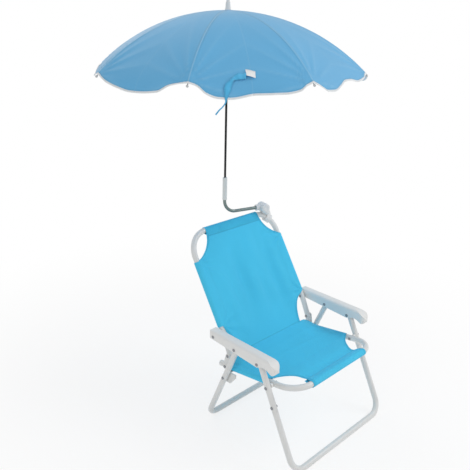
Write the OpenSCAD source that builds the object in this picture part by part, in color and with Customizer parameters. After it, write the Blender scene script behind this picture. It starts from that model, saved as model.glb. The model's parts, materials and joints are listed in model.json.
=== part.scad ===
/* [Tubes] */
// Outside diameter of every chair tube
tube_d = 15; // [13:0.5:16]
// Wall of the chair tubes
tube_wall = 1; // [0.8:0.1:1.5]
// Length of a lower floor tube that is plugged into the leg above it
plug_len = 20; // [16:1:30]

/* [Chair frame] */
// Distance from the middle plane to the axis of each leg
frame_half = 180; // [178:1:200]
// Distance inward from a leg's axis to the axis of the seat rail and back tube
rail_inset = 23; // [22.5:0.5:25]
// Height of the front arm pivot above the floor
arm_pivot_z = 254; // [235:1:280]
// Slope of the row of arm pivots, rising to the rear
arm_rise = 3.4; // [2:0.1:5]
// Distance from the front arm pivot to the rear leg's pivot
arm_mid = 76.3; // [72:0.5:80]
// Distance from the front arm pivot to the back's pivot
arm_rear = 150.4; // [146:0.5:156]
// Lean of the front legs from vertical
leg_lean = 26.2; // [24:0.1:28]
// Lean of the rear legs from vertical
rear_lean = 22.4; // [20:0.1:24]
// Distance down the front leg from the arm pivot to the seat pivot
seat_drop = 60.5; // [57:0.5:64]
// Fall of the seat rails towards the rear
seat_tilt = 8.95; // [7:0.05:10]
// Length of a seat rail behind its pivot
rail_rear = 183; // [178:1:190]
// Distance from the seat pivot forward to the front bar
rail_front = 72; // [68:1:85]
// Lean of the back from vertical above the arms
back_recline = 32; // [28:0.5:35]
// Length of the back from the arm pivot to the top bar
back_rise = 263.5; // [245:0.5:285]
// Bend radius of the floor tubes
leg_bend = 36; // [28:1:45]
// Bend radius of the seat's front corners
seat_bend = 54; // [45:1:60]
// Bend radius of the back's top corners
back_bend = 60; // [50:1:62]
// Height above the floor at which a floor tube meets the leg
splice_z = 147; // [140:1:160]

/* [Fasteners] */
// Diameter of the pivot bolts and rivets
bolt_d = 4; // [3.5:0.5:5]
// Diameter of a bolt or rivet head
head_d = 8; // [7:0.5:9]
// Height of a bolt or rivet head
head_h = 1.5; // [1.2:0.1:2]
// Running clearance round a bolt, on the radius
bolt_fit = 0.05; // [0.02:0.01:0.1]
// Free gap between pieces that move past each other
air = 0.3; // [0.3:0.05:0.5]
// Thickness of the seat's hinge plates and leg rests
plate_t = 2.5; // [2:0.1:2.6]

/* [Armrests] */
// Width of an armrest
arm_w = 26; // [25:0.5:28]
// Height of an armrest's top above the front pivot
arm_top = 25; // [23:0.5:28]
// Wall of the moulded armrests
arm_wall = 2.5; // [2:0.1:3]
// Length of an armrest behind the front pivot
arm_back_len = 169.5; // [167:0.5:175]
// Reach of the armrest's nose ahead of the front pivot
arm_nose = 55; // [52:0.5:58]
// Depth of the armrest's nose tip below the front pivot
nose_drop = 7.5; // [6:0.5:9]

/* [Sling] */
// Thickness of the sling cloth
cloth_t = 1.2; // [1:0.1:1.4]
// Sag of the seat's cloth at its middle
seat_sag = 11; // [4:0.5:14]
// Sag of the back's cloth at its middle
back_sag = 9; // [4:0.5:12]

/* [Umbrella support] */
// Diameter of the bent umbrella rod
rod_d = 9; // [8:0.5:10]
// Height of the rod above the top bar's axis
rod_lift = 22.7; // [22:0.1:28]
// Turn of the rod away from the top bar, seen from above
rod_turn = 16.1; // [14:0.1:18]
// Bend radius of the rod
rod_bend = 34; // [26:1:38]
// Distance of the pole behind the front arm pivot
pole_back = 314.8; // [312:0.5:320]
// Outside diameter of the sleeve on the rod
sleeve_d = 12.5; // [12.5:0.5:15]
// Length of the sleeve
sleeve_len = 63; // [58:1:75]
// Diameter of the umbrella pole
pole_d = 6; // [5:0.5:7]
// Distance of the clamp's hub inward from the back tube's axis
hub_inset = 38; // [30:0.5:42]
// Radius of the clamp's hub
hub_r = 12.5; // [12:0.5:14]
// Radius of the clamp's knob
knob_r = 13; // [10:0.5:14]

/* [Umbrella] */
// Height of the rib pivots above the floor
crown_z = 1037.5; // [1000:0.5:1080]
// Radius of the circle that the ribs bend along
rib_curve = 497.5; // [470:0.5:520]
// Horizontal reach of a rib's tip from the pole
rib_reach = 350; // [330:1:360]
// Number of ribs
rib_count = 8; // [8:1:8]
// Turn of the first rib from the +X direction
rib_phase = -12.5; // [-20:0.5:0]
// Diameter of a rib
rib_d = 2.6; // [2.2:0.1:3]
// Diameter of a stretcher
stretcher_d = 2.4; // [2:0.1:2.8]
// Thickness of the canopy's cloth
canopy_t = 0.6; // [0.5:0.1:1]
// Diameter of the ball on a rib's tip
tip_d = 6; // [5:0.5:6.5]
// Distance from the pole's axis to the rib pivots
crown_r = 8; // [7.5:0.5:9]
// Distance from the pole's axis to the stretcher pivots
runner_r = 10; // [9.5:0.5:11]
// Height of the open runner's pivots below the crown's
runner_drop = 70; // [66:0.5:80]
// Angle along the rib's bend at which the stretcher meets it
joint_angle = 13; // [12:0.5:15]
// Extra cloth angle hanging below the ribs between their tips
scallop = 4.4; // [2:0.2:6]
// Share by which the cloth lies inside the ribs' circle between them
gore_flat = 0.045; // [0.02:0.005:0.07]

/* [Hidden] */
$fn = 40;

// Shared radii, places across and finishes
seat_half = frame_half - rail_inset;
back_half = seat_half;
hub_x = back_half - hub_inset;
tube_r = tube_d / 2;
bore_r = tube_r - tube_wall;
hole_d = bolt_d + 2 * bolt_fit;
white = "whitesmoke";
plastic = "white";
steel = "dimgray";
sky = "deepskyblue";
cloth_blue = "cornflowerblue";
black = "black";

// The whole object is centred front to back on the origin
canopy_reach = (rib_reach + tip_d / 2) * cos(rib_phase);
toe_reach = (arm_pivot_z - tube_r) * tan(leg_lean) + tube_r;
arm_front_y = (toe_reach - pole_back - canopy_reach) / 2;
pole_y = arm_front_y + pole_back;

// Pivots in the side view, as [y, z]
function along(p, length, angle) = [p[0] + length * cos(angle), p[1] + length * sin(angle)];
arm_front_p = [arm_front_y, arm_pivot_z];
arm_mid_p = along(arm_front_p, arm_mid, arm_rise);
arm_rear_p = along(arm_front_p, arm_rear, arm_rise);
seat_p = along(arm_front_p, seat_drop, 270 - leg_lean);
back_p = arm_rear_p + seat_p - arm_front_p;
front_foot = [arm_front_y - (arm_pivot_z - tube_r) * tan(leg_lean), tube_r];
rear_foot = [arm_mid_p[0] + (arm_mid_p[1] - tube_r) * tan(rear_lean), tube_r];
front_splice = along(front_foot, (splice_z - tube_r) / cos(leg_lean), 90 - leg_lean);
rear_splice = along(rear_foot, (splice_z - tube_r) / cos(rear_lean), 90 + rear_lean);
top_p = along(arm_rear_p, back_rise, 90 - back_recline);
leg_end = 9;

// Draws children in a side plane: local X runs along the given angle, local Y square to it
module side_frame(x, p, angle) {
  translate([x, p[0], p[1]]) rotate([angle, 0, 0]) rotate([0, 0, 90]) children();
}

// A round bar along +X between two places
module x_bar(p, x0, x1, d) {
  translate([x0, p[0], p[1]]) rotate([0, 90, 0]) cylinder(d = d, h = x1 - x0);
}

// A bolt along X with a low head at each end
module x_bolt(p, x0, x1) {
  x_bar(p, x0, x1, bolt_d);
  for (end = [[x0, -1], [x1, 1]]) {
    translate([end[0], p[0], p[1]]) rotate([0, 90 * end[1], 0]) {
      cylinder(d = head_d, h = head_h * 0.5);
      translate([0, 0, head_h * 0.5]) cylinder(d1 = head_d, d2 = head_d * 0.6, h = head_h * 0.5);
    }
  }
}

// Same bolt on both sides of the chair, given for the +X side
module bolt_pair(p, x0, x1) {
  x_bolt(p, x0, x1);
  x_bolt(p, -x1, -x0);
}

// A cross hole through everything on both sides
module cross_hole(p) {
  x_bar(p, -frame_half - arm_w, frame_half + arm_w, hole_d);
}

// A tube from one side point to another at a fixed x
module side_tube(x, p, q, d) {
  run = q - p;
  translate([x, p[0], p[1]]) rotate([atan2(run[1], run[0]) - 90, 0, 0]) cylinder(d = d, h = norm(run));
}

// A bent U in its own plane: the bar lies along X at the origin, the arms run along +Y
module u_bend(half, rise, bend, d) {
  flat = half - bend;
  translate([-flat, 0, 0]) rotate([0, 90, 0]) cylinder(d = d, h = 2 * flat);
  for (s = [-1, 1]) {
    translate([s * half, bend, 0]) rotate([-90, 0, 0]) cylinder(d = d, h = rise - bend);
    translate([s * flat, bend, 0]) rotate([0, 0, s > 0 ? -90 : 180])
      rotate_extrude(angle = 90) translate([bend, 0]) circle(d = d);
  }
}

// Places a U so that its arms run up from a side point along an angle
module stand(p, angle) {
  translate([0, p[0], p[1]]) rotate([angle, 0, 0]) children();
}

// Front legs
front_angle = 90 - leg_lean;
front_top_p = along(arm_front_p, leg_end, front_angle);
front_rise = norm(front_splice - front_foot);

module leg_upper(s, splice, top, holes) {
  color(white) difference() {
    side_tube(s * frame_half, splice, top, tube_d);
    side_tube(s * frame_half, splice - (top - splice) * 0.01, top + (top - splice) * 0.01, 2 * bore_r);
    for (p = holes) cross_hole(p);
  }
}

// Rivet place in the middle of a plugged joint
front_rivet_p = along(front_splice, plug_len / 2, front_angle);
rear_angle = 90 + rear_lean;
rear_rivet_p = along(rear_splice, plug_len / 2, rear_angle);
rear_top_p = along(arm_mid_p, leg_end, rear_angle);

module front_leg_left() leg_upper(1, front_splice, front_top_p, [arm_front_p, seat_p, front_rivet_p]);
module front_leg_right() leg_upper(-1, front_splice, front_top_p, [arm_front_p, seat_p, front_rivet_p]);
module rear_leg_left() leg_upper(1, rear_splice, rear_top_p, [arm_mid_p, rear_rivet_p]);
module rear_leg_right() leg_upper(-1, rear_splice, rear_top_p, [arm_mid_p, rear_rivet_p]);

// A lower U with a reduced neck on each arm that plugs into the leg above
module floor_frame(foot, angle, rivet) {
  rise = norm(rivet - foot) - plug_len / 2;
  neck_d = 2 * (bore_r - bolt_fit);
  color(white) difference() {
    stand(foot, angle) {
      u_bend(frame_half, rise - air, leg_bend, tube_d);
      for (s = [-1, 1]) translate([s * frame_half, rise - 2, 0]) rotate([-90, 0, 0])
        cylinder(d = neck_d, h = plug_len + 2);
    }
    stand(foot, angle) {
      u_bend(frame_half, rise - 4, leg_bend, 2 * bore_r);
      for (s = [-1, 1]) translate([s * frame_half, rise - 5, 0]) rotate([-90, 0, 0])
        cylinder(d = neck_d - 2 * tube_wall, h = plug_len + 6);
    }
    cross_hole(rivet);
  }
}

module front_floor_frame() floor_frame(front_foot, front_angle, front_rivet_p);
module rear_floor_frame() floor_frame(rear_foot, rear_angle, rear_rivet_p);

leg_in = frame_half - tube_r;
leg_out = frame_half + tube_r;
module front_leg_rivets() color(steel) bolt_pair(front_rivet_p, leg_in - air, leg_out + air);
module rear_leg_rivets() color(steel) bolt_pair(rear_rivet_p, rest_in - air, leg_out + air);

// Seat frame
rail_angle = 180 - seat_tilt;
rail_end_p = along(seat_p, rail_rear, -seat_tilt);
seat_bar_p = along(seat_p, rail_front, rail_angle);
rail_in = seat_half - tube_r;
rail_out = seat_half + tube_r;
plate_in = rail_out + air;
plate_out = plate_in + plate_t;
function on_rail(s, h) = along(along(seat_p, s, -seat_tilt), h, 90 - seat_tilt);
plate_rear_p = on_rail(161, 0);
plate_front_p = on_rail(146.5, 0);

module seat_frame() {
  color(white) difference() {
    stand(seat_bar_p, -seat_tilt) u_bend(seat_half, rail_front + rail_rear, seat_bend, tube_d);
    stand(seat_bar_p, -seat_tilt) u_bend(seat_half, rail_front + rail_rear + 1, seat_bend, 2 * bore_r);
    cross_hole(seat_p);
    cross_hole(plate_rear_p);
    cross_hole(plate_front_p);
  }
}

// A push-in cap: a spigot inside the tube and a domed rim on its end
module tube_cap(x, p, angle) {
  translate([x, p[0], p[1]]) rotate([angle - 90, 0, 0]) {
    translate([0, 0, -10]) cylinder(r = bore_r - bolt_fit, h = 10.2);
    translate([0, 0, 0.1]) cylinder(r = tube_r, h = 2);
    translate([0, 0, 2.1]) cylinder(r1 = tube_r, r2 = tube_r - 2, h = 1.2);
  }
}

module seat_rail_caps() color(plastic) for (s = [-1, 1]) tube_cap(s * seat_half, rail_end_p, -seat_tilt);

// Plates that carry the back's hinge above the rails
plate_edge = 6.5;
module plate_outline(points, r) {
  hull() for (p = points) x_bar(p, plate_in, plate_out, 2 * r);
}
module both_sides() {
  children();
  mirror([1, 0, 0]) children();
}
module seat_hinge_plates() {
  color(white) both_sides() difference() {
    union() {
      plate_outline([plate_rear_p, plate_front_p], plate_edge);
      plate_outline([plate_rear_p, plate_front_p, back_p], plate_edge - 0.2);
    }
    for (p = [plate_rear_p, plate_front_p, back_p]) cross_hole(p);
  }
}
module seat_plate_rivets() {
  color(steel) for (p = [plate_rear_p, plate_front_p]) bolt_pair(p, rail_in - air, plate_out + air);
}
module seat_pivot_bolts() color(steel) bolt_pair(seat_p, rail_in - air, leg_out + air);
module seat_pivot_spacers() {
  color(plastic) both_sides() difference() {
    x_bar(seat_p, rail_out + air, leg_in - air, 11);
    cross_hole(seat_p);
  }
}

// Rests on the rear legs that hold the seat rails from below
rest_out = leg_in - air;
rest_in = rest_out - plate_t;
rest_span = [137.5, 149];
rest_low = 139;
module rail_rests() {
  near = on_rail(rest_span[0], -tube_r - air);
  far = on_rail(rest_span[1], -tube_r - air);
  nose = on_rail(rest_span[0] - 20, -tube_r - 2);
  color(white) both_sides() difference() {
    union() {
      translate([rest_in, 0, 0]) rotate([90, 0, 90]) linear_extrude(plate_t)
        polygon([nose, nose - [0, 10], [rear_rivet_p[0] - 12, rest_low], [rear_rivet_p[0] + 6, rest_low],
                 [rear_rivet_p[0] + 11, rest_low + 6], far]);
      translate([rail_in, 0, 0]) rotate([90, 0, 90]) linear_extrude(rest_out - rail_in)
        polygon([near, far, far - [0, plate_t], near - [0, plate_t]]);
    }
    cross_hole(rear_rivet_p);
  }
}

// Back frame
back_up = 90 - back_recline;
back_knee = along(arm_rear_p, 14, 270 - back_recline);
knee_dir = atan2(back_knee[1] - back_p[1], back_knee[0] - back_p[0]);
back_foot_p = along(back_p, 10, knee_dir + 180);
back_in = back_half - tube_r;
back_out = back_half + tube_r;

// Half space on one side of the mitre at the back tube's slight bend
module knee_block(side) {
  translate([0, back_knee[0], back_knee[1]]) rotate([(knee_dir + back_up) / 2 - 90, 0, 0])
    translate([0, 0, 3 * tube_d * side]) cube([3 * back_half, 6 * tube_d, 6 * tube_d], center = true);
}
module back_tube(d, extra) {
  difference() {
    stand(top_p, back_up + 180) u_bend(back_half, back_rise + 22, back_bend, d);
    knee_block(-1);
  }
  difference() {
    for (s = [-1, 1]) side_tube(s * back_half, along(back_foot_p, extra, knee_dir + 180), along(back_knee, 8, knee_dir), d);
    knee_block(1);
  }
}
module back_frame() {
  color(white) difference() {
    back_tube(tube_d, 0);
    back_tube(2 * bore_r, 1);
    cross_hole(arm_rear_p);
    cross_hole(back_p);
  }
}
module back_tube_plugs() color(plastic) for (s = [-1, 1]) tube_cap_short(s * back_half);
module tube_cap_short(x) {
  translate([x, back_foot_p[0], back_foot_p[1]]) rotate([knee_dir + 90, 0, 0]) {
    translate([0, 0, -6]) cylinder(r = bore_r - bolt_fit, h = 6.2);
    translate([0, 0, 0.1]) cylinder(r = tube_r, h = 1.5);
  }
}
module back_pivot_bolts() color(steel) bolt_pair(back_p, back_in - air, plate_out + air);

// Armrests, drawn on the +X side in millimetres from the front pivot
function arc(cy, cz, r, a0, a1, n) = [for (i = [0:n]) [cy + r * cos(a0 + (a1 - a0) * i / n), cz + r * sin(a0 + (a1 - a0) * i / n)]];
arm_in = frame_half - arm_w / 2;
arm_out = frame_half + arm_w / 2;
tail_r = (arm_top - 1) / 2;
tip_r = 8;
end_r = arm_w / 2 - 0.5;
nose_curve = 37;
nose_high = arm_top + nose_drop - tip_r;
lower_edge = -7;
function lower_at(y) = lower_edge + y * tan(arm_rise);
arm_outline = concat(
  [[arm_back_len - tail_r, lower_at(arm_back_len - tail_r) ]],
  arc(arm_back_len - tail_r, arm_top - tail_r, tail_r, -80, 90, 10),
  [for (i = [0:9]) [nose_curve - arm_nose + nose_curve * cos(90 + 10 * i), arm_top - nose_high + nose_high * sin(90 + 10 * i)]],
  arc(tip_r - arm_nose, tip_r - nose_drop, tip_r, 190, 290, 8),
  [[21 - arm_nose, -1.5], [30 - arm_nose, 0.5], [-18, 0.5], [-13, -1], [0, lower_edge]]);
arm_slot = arm_w / 2 - arm_wall;
arm_ceiling = arm_top - arm_wall;

module arm_profile() {
  edge = 7;
  intersection() {
    translate([arm_in, 0, 0]) rotate([90, 0, 90]) linear_extrude(arm_w) polygon(arm_outline);
    translate([frame_half, arm_back_len + 1, 0]) rotate([90, 0, 0]) linear_extrude(arm_back_len + arm_nose + 2)
      polygon(concat(
        [[-arm_w / 2, -nose_drop - 1], [arm_w / 2, -nose_drop - 1]],
        arc(arm_w / 2 - edge, arm_top - edge - 0.6, edge, 0, 90, 6),
        [[0, arm_top]],
        arc(edge - arm_w / 2, arm_top - edge - 0.6, edge, 90, 180, 6)));
    translate([frame_half, 0, -nose_drop - 1]) linear_extrude(arm_top + nose_drop + 2)
      polygon(concat(
        arc(arm_w / 2 - end_r, arm_back_len - end_r, end_r, 0, 90, 8), arc(end_r - arm_w / 2, arm_back_len - end_r, end_r, 90, 180, 8),
        arc(end_r - arm_w / 2, end_r - arm_nose, end_r, 180, 270, 8), arc(arm_w / 2 - end_r, end_r - arm_nose, end_r, 270, 360, 8)));
  }
}
fold_max = 42;
leg_swing = 270 - leg_lean - fold_max;
module arm_hollow() {
  low = -nose_drop - 5;
  translate([frame_half - arm_slot, 0, 0]) rotate([90, 0, 90]) linear_extrude(2 * arm_slot)
    polygon([[-34, low], [-34, 6], [-26, arm_ceiling - 8], [-16, arm_ceiling], [arm_back_len - 16, arm_ceiling],
             [arm_back_len - 6, arm_ceiling - 7], [arm_back_len - 6, low]]);
  // Room for the leg that lies along the nose when the chair is folded
  hull() for (reach = [0, seat_drop + 20]) for (turn = [leg_swing, leg_swing + 30])
    translate([frame_half - tube_r - 0.8, reach * cos(turn), reach * sin(turn)])
      rotate([0, 90, 0]) cylinder(r = tube_r + 0.8, h = tube_d + 1.6);
}
module arm_bosses() {
  gap = tube_r + air;
  for (p = [arm_front_p, arm_mid_p]) for (x = [frame_half - arm_slot, frame_half + gap])
    x_bar(p - arm_front_p, x, x + arm_slot - gap, 10);
  x_bar(arm_rear_p - arm_front_p, frame_half - arm_slot, frame_half + arm_slot, 10);
}
module armrest() {
  color(plastic) translate([0, arm_front_y, arm_pivot_z]) difference() {
    union() {
      difference() {
        arm_profile();
        arm_hollow();
      }
      arm_bosses();
    }
    translate([0, -arm_front_y, -arm_pivot_z]) for (p = [arm_front_p, arm_mid_p, arm_rear_p]) cross_hole(p);
  }
}
module armrest_left() armrest();
module armrest_right() mirror([1, 0, 0]) armrest();
module arm_bolts() {
  color(steel) {
    for (p = [arm_front_p, arm_mid_p]) bolt_pair(p, arm_in - air, arm_out + air);
    bolt_pair(arm_rear_p, back_in - air, arm_out + air);
  }
}
module arm_washers() {
  color(plastic) both_sides() difference() {
    x_bar(arm_rear_p, back_out + air, arm_in - air, 12);
    cross_hole(arm_rear_p);
  }
}

// A closed sheet of cloth over a grid: f(u, v) gives the middle surface as [a, b, c]
function grid_points(rows, cols, point) = [for (k = [0, 1]) for (i = [0:rows]) for (j = [0:cols]) point(i / rows, j / cols, k)];
function grid_faces(rows, cols) =
  let (w = cols + 1, half = w * (rows + 1))
  concat(
    [for (i = [0:rows - 1]) for (j = [0:cols - 1]) let (a = i * w + j) each [[a, a + w, a + 1], [a + 1, a + w, a + w + 1]]],
    [for (i = [0:rows - 1]) for (j = [0:cols - 1]) let (a = half + i * w + j) each [[a, a + 1, a + w], [a + 1, a + w + 1, a + w]]],
    [for (j = [0:cols - 1]) for (i = [0, rows]) let (a = i * w + j, b = a + half) each i == 0 ? [[a, a + 1, b], [a + 1, b + 1, b]] : [[a, b, a + 1], [a + 1, b, b + 1]]],
    [for (i = [0:rows - 1]) for (j = [0, cols]) let (a = i * w + j, b = a + half) each j == 0 ? [[a, b, a + w], [a + w, b, b + w]] : [[a, a + w, b], [a + w, b + w, b]]]);

// Half width of the cloth at a distance along its plane, from a list of [distance, half width]
function width_at(list, v) = lookup(v, list);
sleeve_in = tube_r + air;
sleeve_out = sleeve_in + cloth_t + 0.3;
back_cut = 76;
hem_half = back_half - 58;
seat_hem_half = seat_half - 51;
seat_front_cut = 17;
seat_rear_cut = 136;
back_side_low = 14;
back_low = -80;
seat_high = 122;
back_shape = [[back_low, back_half - 45], [back_low + 20, back_half - 44], [-33, back_half - 37], [-12, back_half - 26],
  [0, back_half - 12], [back_side_low - 4, back_half],
  [back_rise - back_cut + 4, back_half], [back_rise - 66, back_half - 10], [back_rise - 56, back_half - 25],
  [back_rise - 45, back_half - 37], [back_rise - 28, back_half - 50], [back_rise - 13, back_half - 55], [back_rise, hem_half]];
seat_shape = [[-rail_front, seat_hem_half], [-rail_front + 12, seat_half - 50], [-rail_front + 32, seat_half - 48],
  [-rail_front + 52, seat_half - 43], [-4, seat_half - 32], [8, seat_half - 15], [seat_front_cut, seat_half],
  [seat_high, seat_half]];
back_rows = 22;
seat_rows = 18;
cloth_cols = 16;
cloth_mid = sleeve_out + air - cloth_t / 2;

// Soft lengthwise folds in the back's cloth
fold_depth = 1.6;
function back_fold(x) = fold_depth * sin(x * 5.1) * sin(x * 1.3 + 40);
function back_point(u, v, k) =
  let (along_v = back_low + u * (back_rise - back_low), x = (2 * v - 1) * width_at(back_shape, along_v),
       across = 1 - pow(x / back_half, 2),
       span = sin(180 * min(1, max(0, (back_rise - along_v) / (back_rise + 60)))),
       n = cloth_mid - back_sag * across * span + back_fold(x) * span * across + (0.5 - k) * cloth_t)
  [x, along_v, n];
function seat_point(u, v, k) =
  let (s = -rail_front + u * (seat_high + rail_front), x = (2 * v - 1) * width_at(seat_shape, s),
       across = 1 - pow(x / seat_half, 2),
       span = sin(180 * min(1, max(0, (s + rail_front) / (seat_high + rail_front + 50)))),
       n = cloth_mid - seat_sag * across * span + (0.5 - k) * cloth_t)
  [x, s, n];

// Sleeve of cloth round a straight length of tube lying along +Y
module y_sleeve(x, y0, y1) {
  translate([x, y0, 0]) rotate([-90, 0, 0]) difference() {
    cylinder(r = sleeve_out, h = y1 - y0);
    translate([0, 0, -1]) cylinder(r = sleeve_in, h = y1 - y0 + 2);
  }
}
module x_sleeve(y, half) {
  translate([-half, y, 0]) rotate([0, 90, 0]) difference() {
    cylinder(r = sleeve_out, h = 2 * half);
    translate([0, 0, -1]) cylinder(r = sleeve_in, h = 2 * half + 2);
  }
}
// Local frame of the back: X across, Y up the tubes, Z to the front
module in_back() translate([0, arm_rear_p[0], arm_rear_p[1]]) rotate([back_up, 0, 0]) children();
// Local frame of the seat: X across, Y to the rear, Z up
module in_seat() translate([0, seat_p[0], seat_p[1]]) rotate([-seat_tilt, 0, 0]) children();

module sling_back() {
  color(sky) in_back() {
    polyhedron(points = grid_points(back_rows, cloth_cols, function(u, v, k) back_point(u, v, k)),
      faces = grid_faces(back_rows, cloth_cols), convexity = 6);
    for (s = [-1, 1]) y_sleeve(s * back_half, back_side_low, back_rise - back_cut);
    x_sleeve(back_rise, hem_half);
  }
}
module sling_seat() {
  color(sky) in_seat() {
    polyhedron(points = grid_points(seat_rows, cloth_cols, function(u, v, k) seat_point(u, v, k)),
      faces = grid_faces(seat_rows, cloth_cols), convexity = 6);
    for (s = [-1, 1]) y_sleeve(s * seat_half, seat_front_cut, seat_rear_cut);
    x_sleeve(-rail_front, seat_hem_half);
  }
}

// Umbrella rod and its clamp
rod_z = top_p[1] + rod_lift;
rod_stub = 8;
rod_len = hub_x / cos(rod_turn) + rod_stub;
// Local frame of the rod: the pole stands on its origin, the rod runs out along +X
module in_rod() translate([0, pole_y, rod_z]) rotate([0, 0, -rod_turn]) children();
hub_d = hub_x / cos(rod_turn);
sleeve_z0 = rod_bend + 4;
rod_top = sleeve_z0 + sleeve_len * 0.46;
pole_low = rod_top + 2;

module umbrella_rod() {
  color("gray") in_rod() {
    translate([rod_bend, 0, 0]) rotate([0, 90, 0]) cylinder(d = rod_d, h = rod_len - rod_bend);
    translate([rod_bend, 0, rod_bend]) rotate([90, 0, 0]) rotate([0, 0, 180])
      rotate_extrude(angle = 90) translate([rod_bend, 0]) circle(d = rod_d);
    translate([0, 0, rod_bend]) cylinder(d = rod_d, h = rod_top - rod_bend);
  }
}
module pole_sleeve() {
  color("lightgray") translate([0, pole_y, rod_z + sleeve_z0]) difference() {
    union() {
      cylinder(d = sleeve_d, h = sleeve_len - 2);
      translate([0, 0, sleeve_len - 2]) cylinder(d1 = sleeve_d, d2 = sleeve_d - 3, h = 2);
    }
    translate([0, 0, -1]) cylinder(d = rod_d + 2 * bolt_fit, h = rod_top - sleeve_z0 + 2);
    cylinder(d = pole_d + 2 * bolt_fit, h = sleeve_len + 1);
  }
}

// Where the clamp grips the bent corner of the back tube, as the angle round the bend
grip_inset = 20;
grip_sin = (back_bend - grip_inset) / back_bend;
grip_angle = asin(grip_sin);
grip_flat = back_half - back_bend;
// Local frame at the grip: Y along the tube, X outwards from the bend, Z to the front
module in_grip() in_back() translate([grip_flat, back_rise - back_bend, 0]) rotate([0, 0, 90 - grip_angle])
  translate([back_bend, 0, 0]) children();
module corner_room(d) {
  in_back() translate([grip_flat, back_rise - back_bend, 0]) rotate_extrude(angle = 90)
    translate([back_bend, 0]) circle(d = d);
}
grip_len = 24;
grip_r = tube_r + 5.5;
barrel_r = rod_d / 2 + 3.5;
screw_d = 5;
hub_half = 11;
barrel_len = 23;
jaw_len = 16;
module clamp_body() {
  color(plastic) difference() {
    union() {
      hull() {
        in_rod() translate([hub_d, 0, 0]) rotate([90, 0, 0]) cylinder(r = hub_r, h = 2 * hub_half, center = true, $fn = 32);
        in_grip() translate([4, 1 - grip_len / 2, -6]) cube([grip_r - 3.4, grip_len - 2, 12]);
      }
      in_rod() translate([hub_d - barrel_len, 0, 0]) rotate([0, 90, 0]) cylinder(r = barrel_r, h = barrel_len);
      in_grip() translate([0, -grip_len / 2, 0]) rotate([-90, 0, 0]) intersection() {
        cylinder(r = grip_r, h = grip_len);
        translate([0.6, -grip_r, -1]) cube([grip_r, 2 * grip_r, grip_len + 2]);
      }
    }
    corner_room(tube_d + 2 * air);
    in_rod() translate([hub_d - barrel_len - 2, 0, 0]) rotate([0, 90, 0]) cylinder(d = rod_d + 2 * bolt_fit, h = barrel_len + rod_stub + 3);
    in_rod() translate([hub_d, 0, 0]) rotate([90, 0, 0]) translate([0, 0, rod_d / 2 + 1]) cylinder(d = screw_d + 2 * bolt_fit, h = 30);
  }
}
// The jaw closes on the tube from inside the bend
module clamp_jaw() {
  color(plastic) difference() {
    in_grip() translate([0, -grip_len / 2, 0]) rotate([-90, 0, 0]) difference() {
      cylinder(r = grip_r, h = jaw_len);
      translate([-air + 0.6, -grip_r - 1, -1]) cube([grip_r + 2, 2 * grip_r + 2, grip_len + 2]);
    }
    corner_room(tube_d + 2 * air);
  }
}
// The knob turns on a screw square to the rod
knob_t = 9;
module clamp_knob() {
  color("gainsboro") in_rod() translate([hub_d, 0, 0]) rotate([90, 0, 0]) {
    translate([0, 0, rod_d / 2 + 1.5]) cylinder(d = screw_d, h = hub_half - rod_d / 2);
    translate([0, 0, hub_half + air]) difference() {
      union() {
        cylinder(r = knob_r, h = knob_t - 2);
        translate([0, 0, knob_t - 2]) cylinder(r1 = knob_r, r2 = knob_r - 3, h = 2);
      }
      for (a = [0:45:315]) rotate([0, 0, a]) translate([knob_r + 1.2, 0, -1]) cylinder(r = 2.4, h = knob_t + 2);
    }
  }
}

// Umbrella, in a frame whose origin is on the pole's axis at the floor
module in_umbrella() translate([0, pole_y, 0]) children();
curve_z = crown_z - sqrt(rib_curve * rib_curve - crown_r * crown_r);
cloth_in = rib_curve + rib_d / 2 + 2 * air;
apex_z = curve_z + cloth_in + canopy_t;
root_angle = asin(crown_r / rib_curve);
tip_angle = asin(rib_reach / rib_curve);
runner_z = crown_z - runner_drop;
joint_r = rib_curve * sin(joint_angle);
joint_z = curve_z + rib_curve * cos(joint_angle);
pin_d = 1.4;
slot_w = 3.4;

module umbrella_pole() {
  color(black) in_umbrella() translate([0, 0, rod_z + pole_low]) cylinder(d = pole_d, h = apex_z + 12 - rod_z - pole_low);
}

// A hub with slots for rods and a pin across each slot
module rod_hub(z, ring_r, bore, low, high, skew, deep) {
  rim = ring_r + 3.5;
  in_umbrella() difference() {
    translate([0, 0, z - low]) cylinder(r = rim, h = low + high);
    translate([0, 0, z - low - 1]) cylinder(d = bore, h = low + high + 2);
    for (i = [0:rib_count - 1]) rotate([0, 0, rib_phase + i * 360 / rib_count])
      translate([ring_r - 2.6, skew - slot_w / 2, z - deep]) cube([rim, slot_w, deep + high + 1]);
  }
  in_umbrella() for (i = [0:rib_count - 1]) rotate([0, 0, rib_phase + i * 360 / rib_count])
    translate([ring_r, skew, z]) rotate([90, 0, 0]) cylinder(d = pin_d, h = slot_w + 2, center = true);
}
rib_side = 3.2;
module crown() color(plastic) rod_hub(crown_z, crown_r, pole_d + 2 * bolt_fit, 8, 1.2, 0, 9);
module runner() {
  color(plastic) {
    rod_hub(runner_z, runner_r, pole_d + 0.6, 7, 2.5, rib_side, 3.4);
    in_umbrella() translate([0, 0, runner_z - 30]) difference() {
      cylinder(d = pole_d + 8, h = 24);
      translate([0, 0, -1]) cylinder(d = pole_d + 0.6, h = 26);
    }
  }
}
ferrule_d = 8;
ferrule_len = 12;
module ferrule() {
  color("gainsboro") in_umbrella() translate([0, 0, apex_z + air]) difference() {
    union() {
      cylinder(d = 15, h = 3);
      translate([0, 0, 3]) cylinder(d1 = 13, d2 = 11, h = 17);
      translate([0, 0, 20]) cylinder(d = ferrule_d, h = ferrule_len);
      translate([0, 0, 20 + ferrule_len]) cylinder(d1 = ferrule_d, d2 = ferrule_d - 3, h = 3);
    }
    translate([0, 0, -1]) cylinder(d = pole_d + 2 * bolt_fit, h = 14);
  }
}

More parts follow.
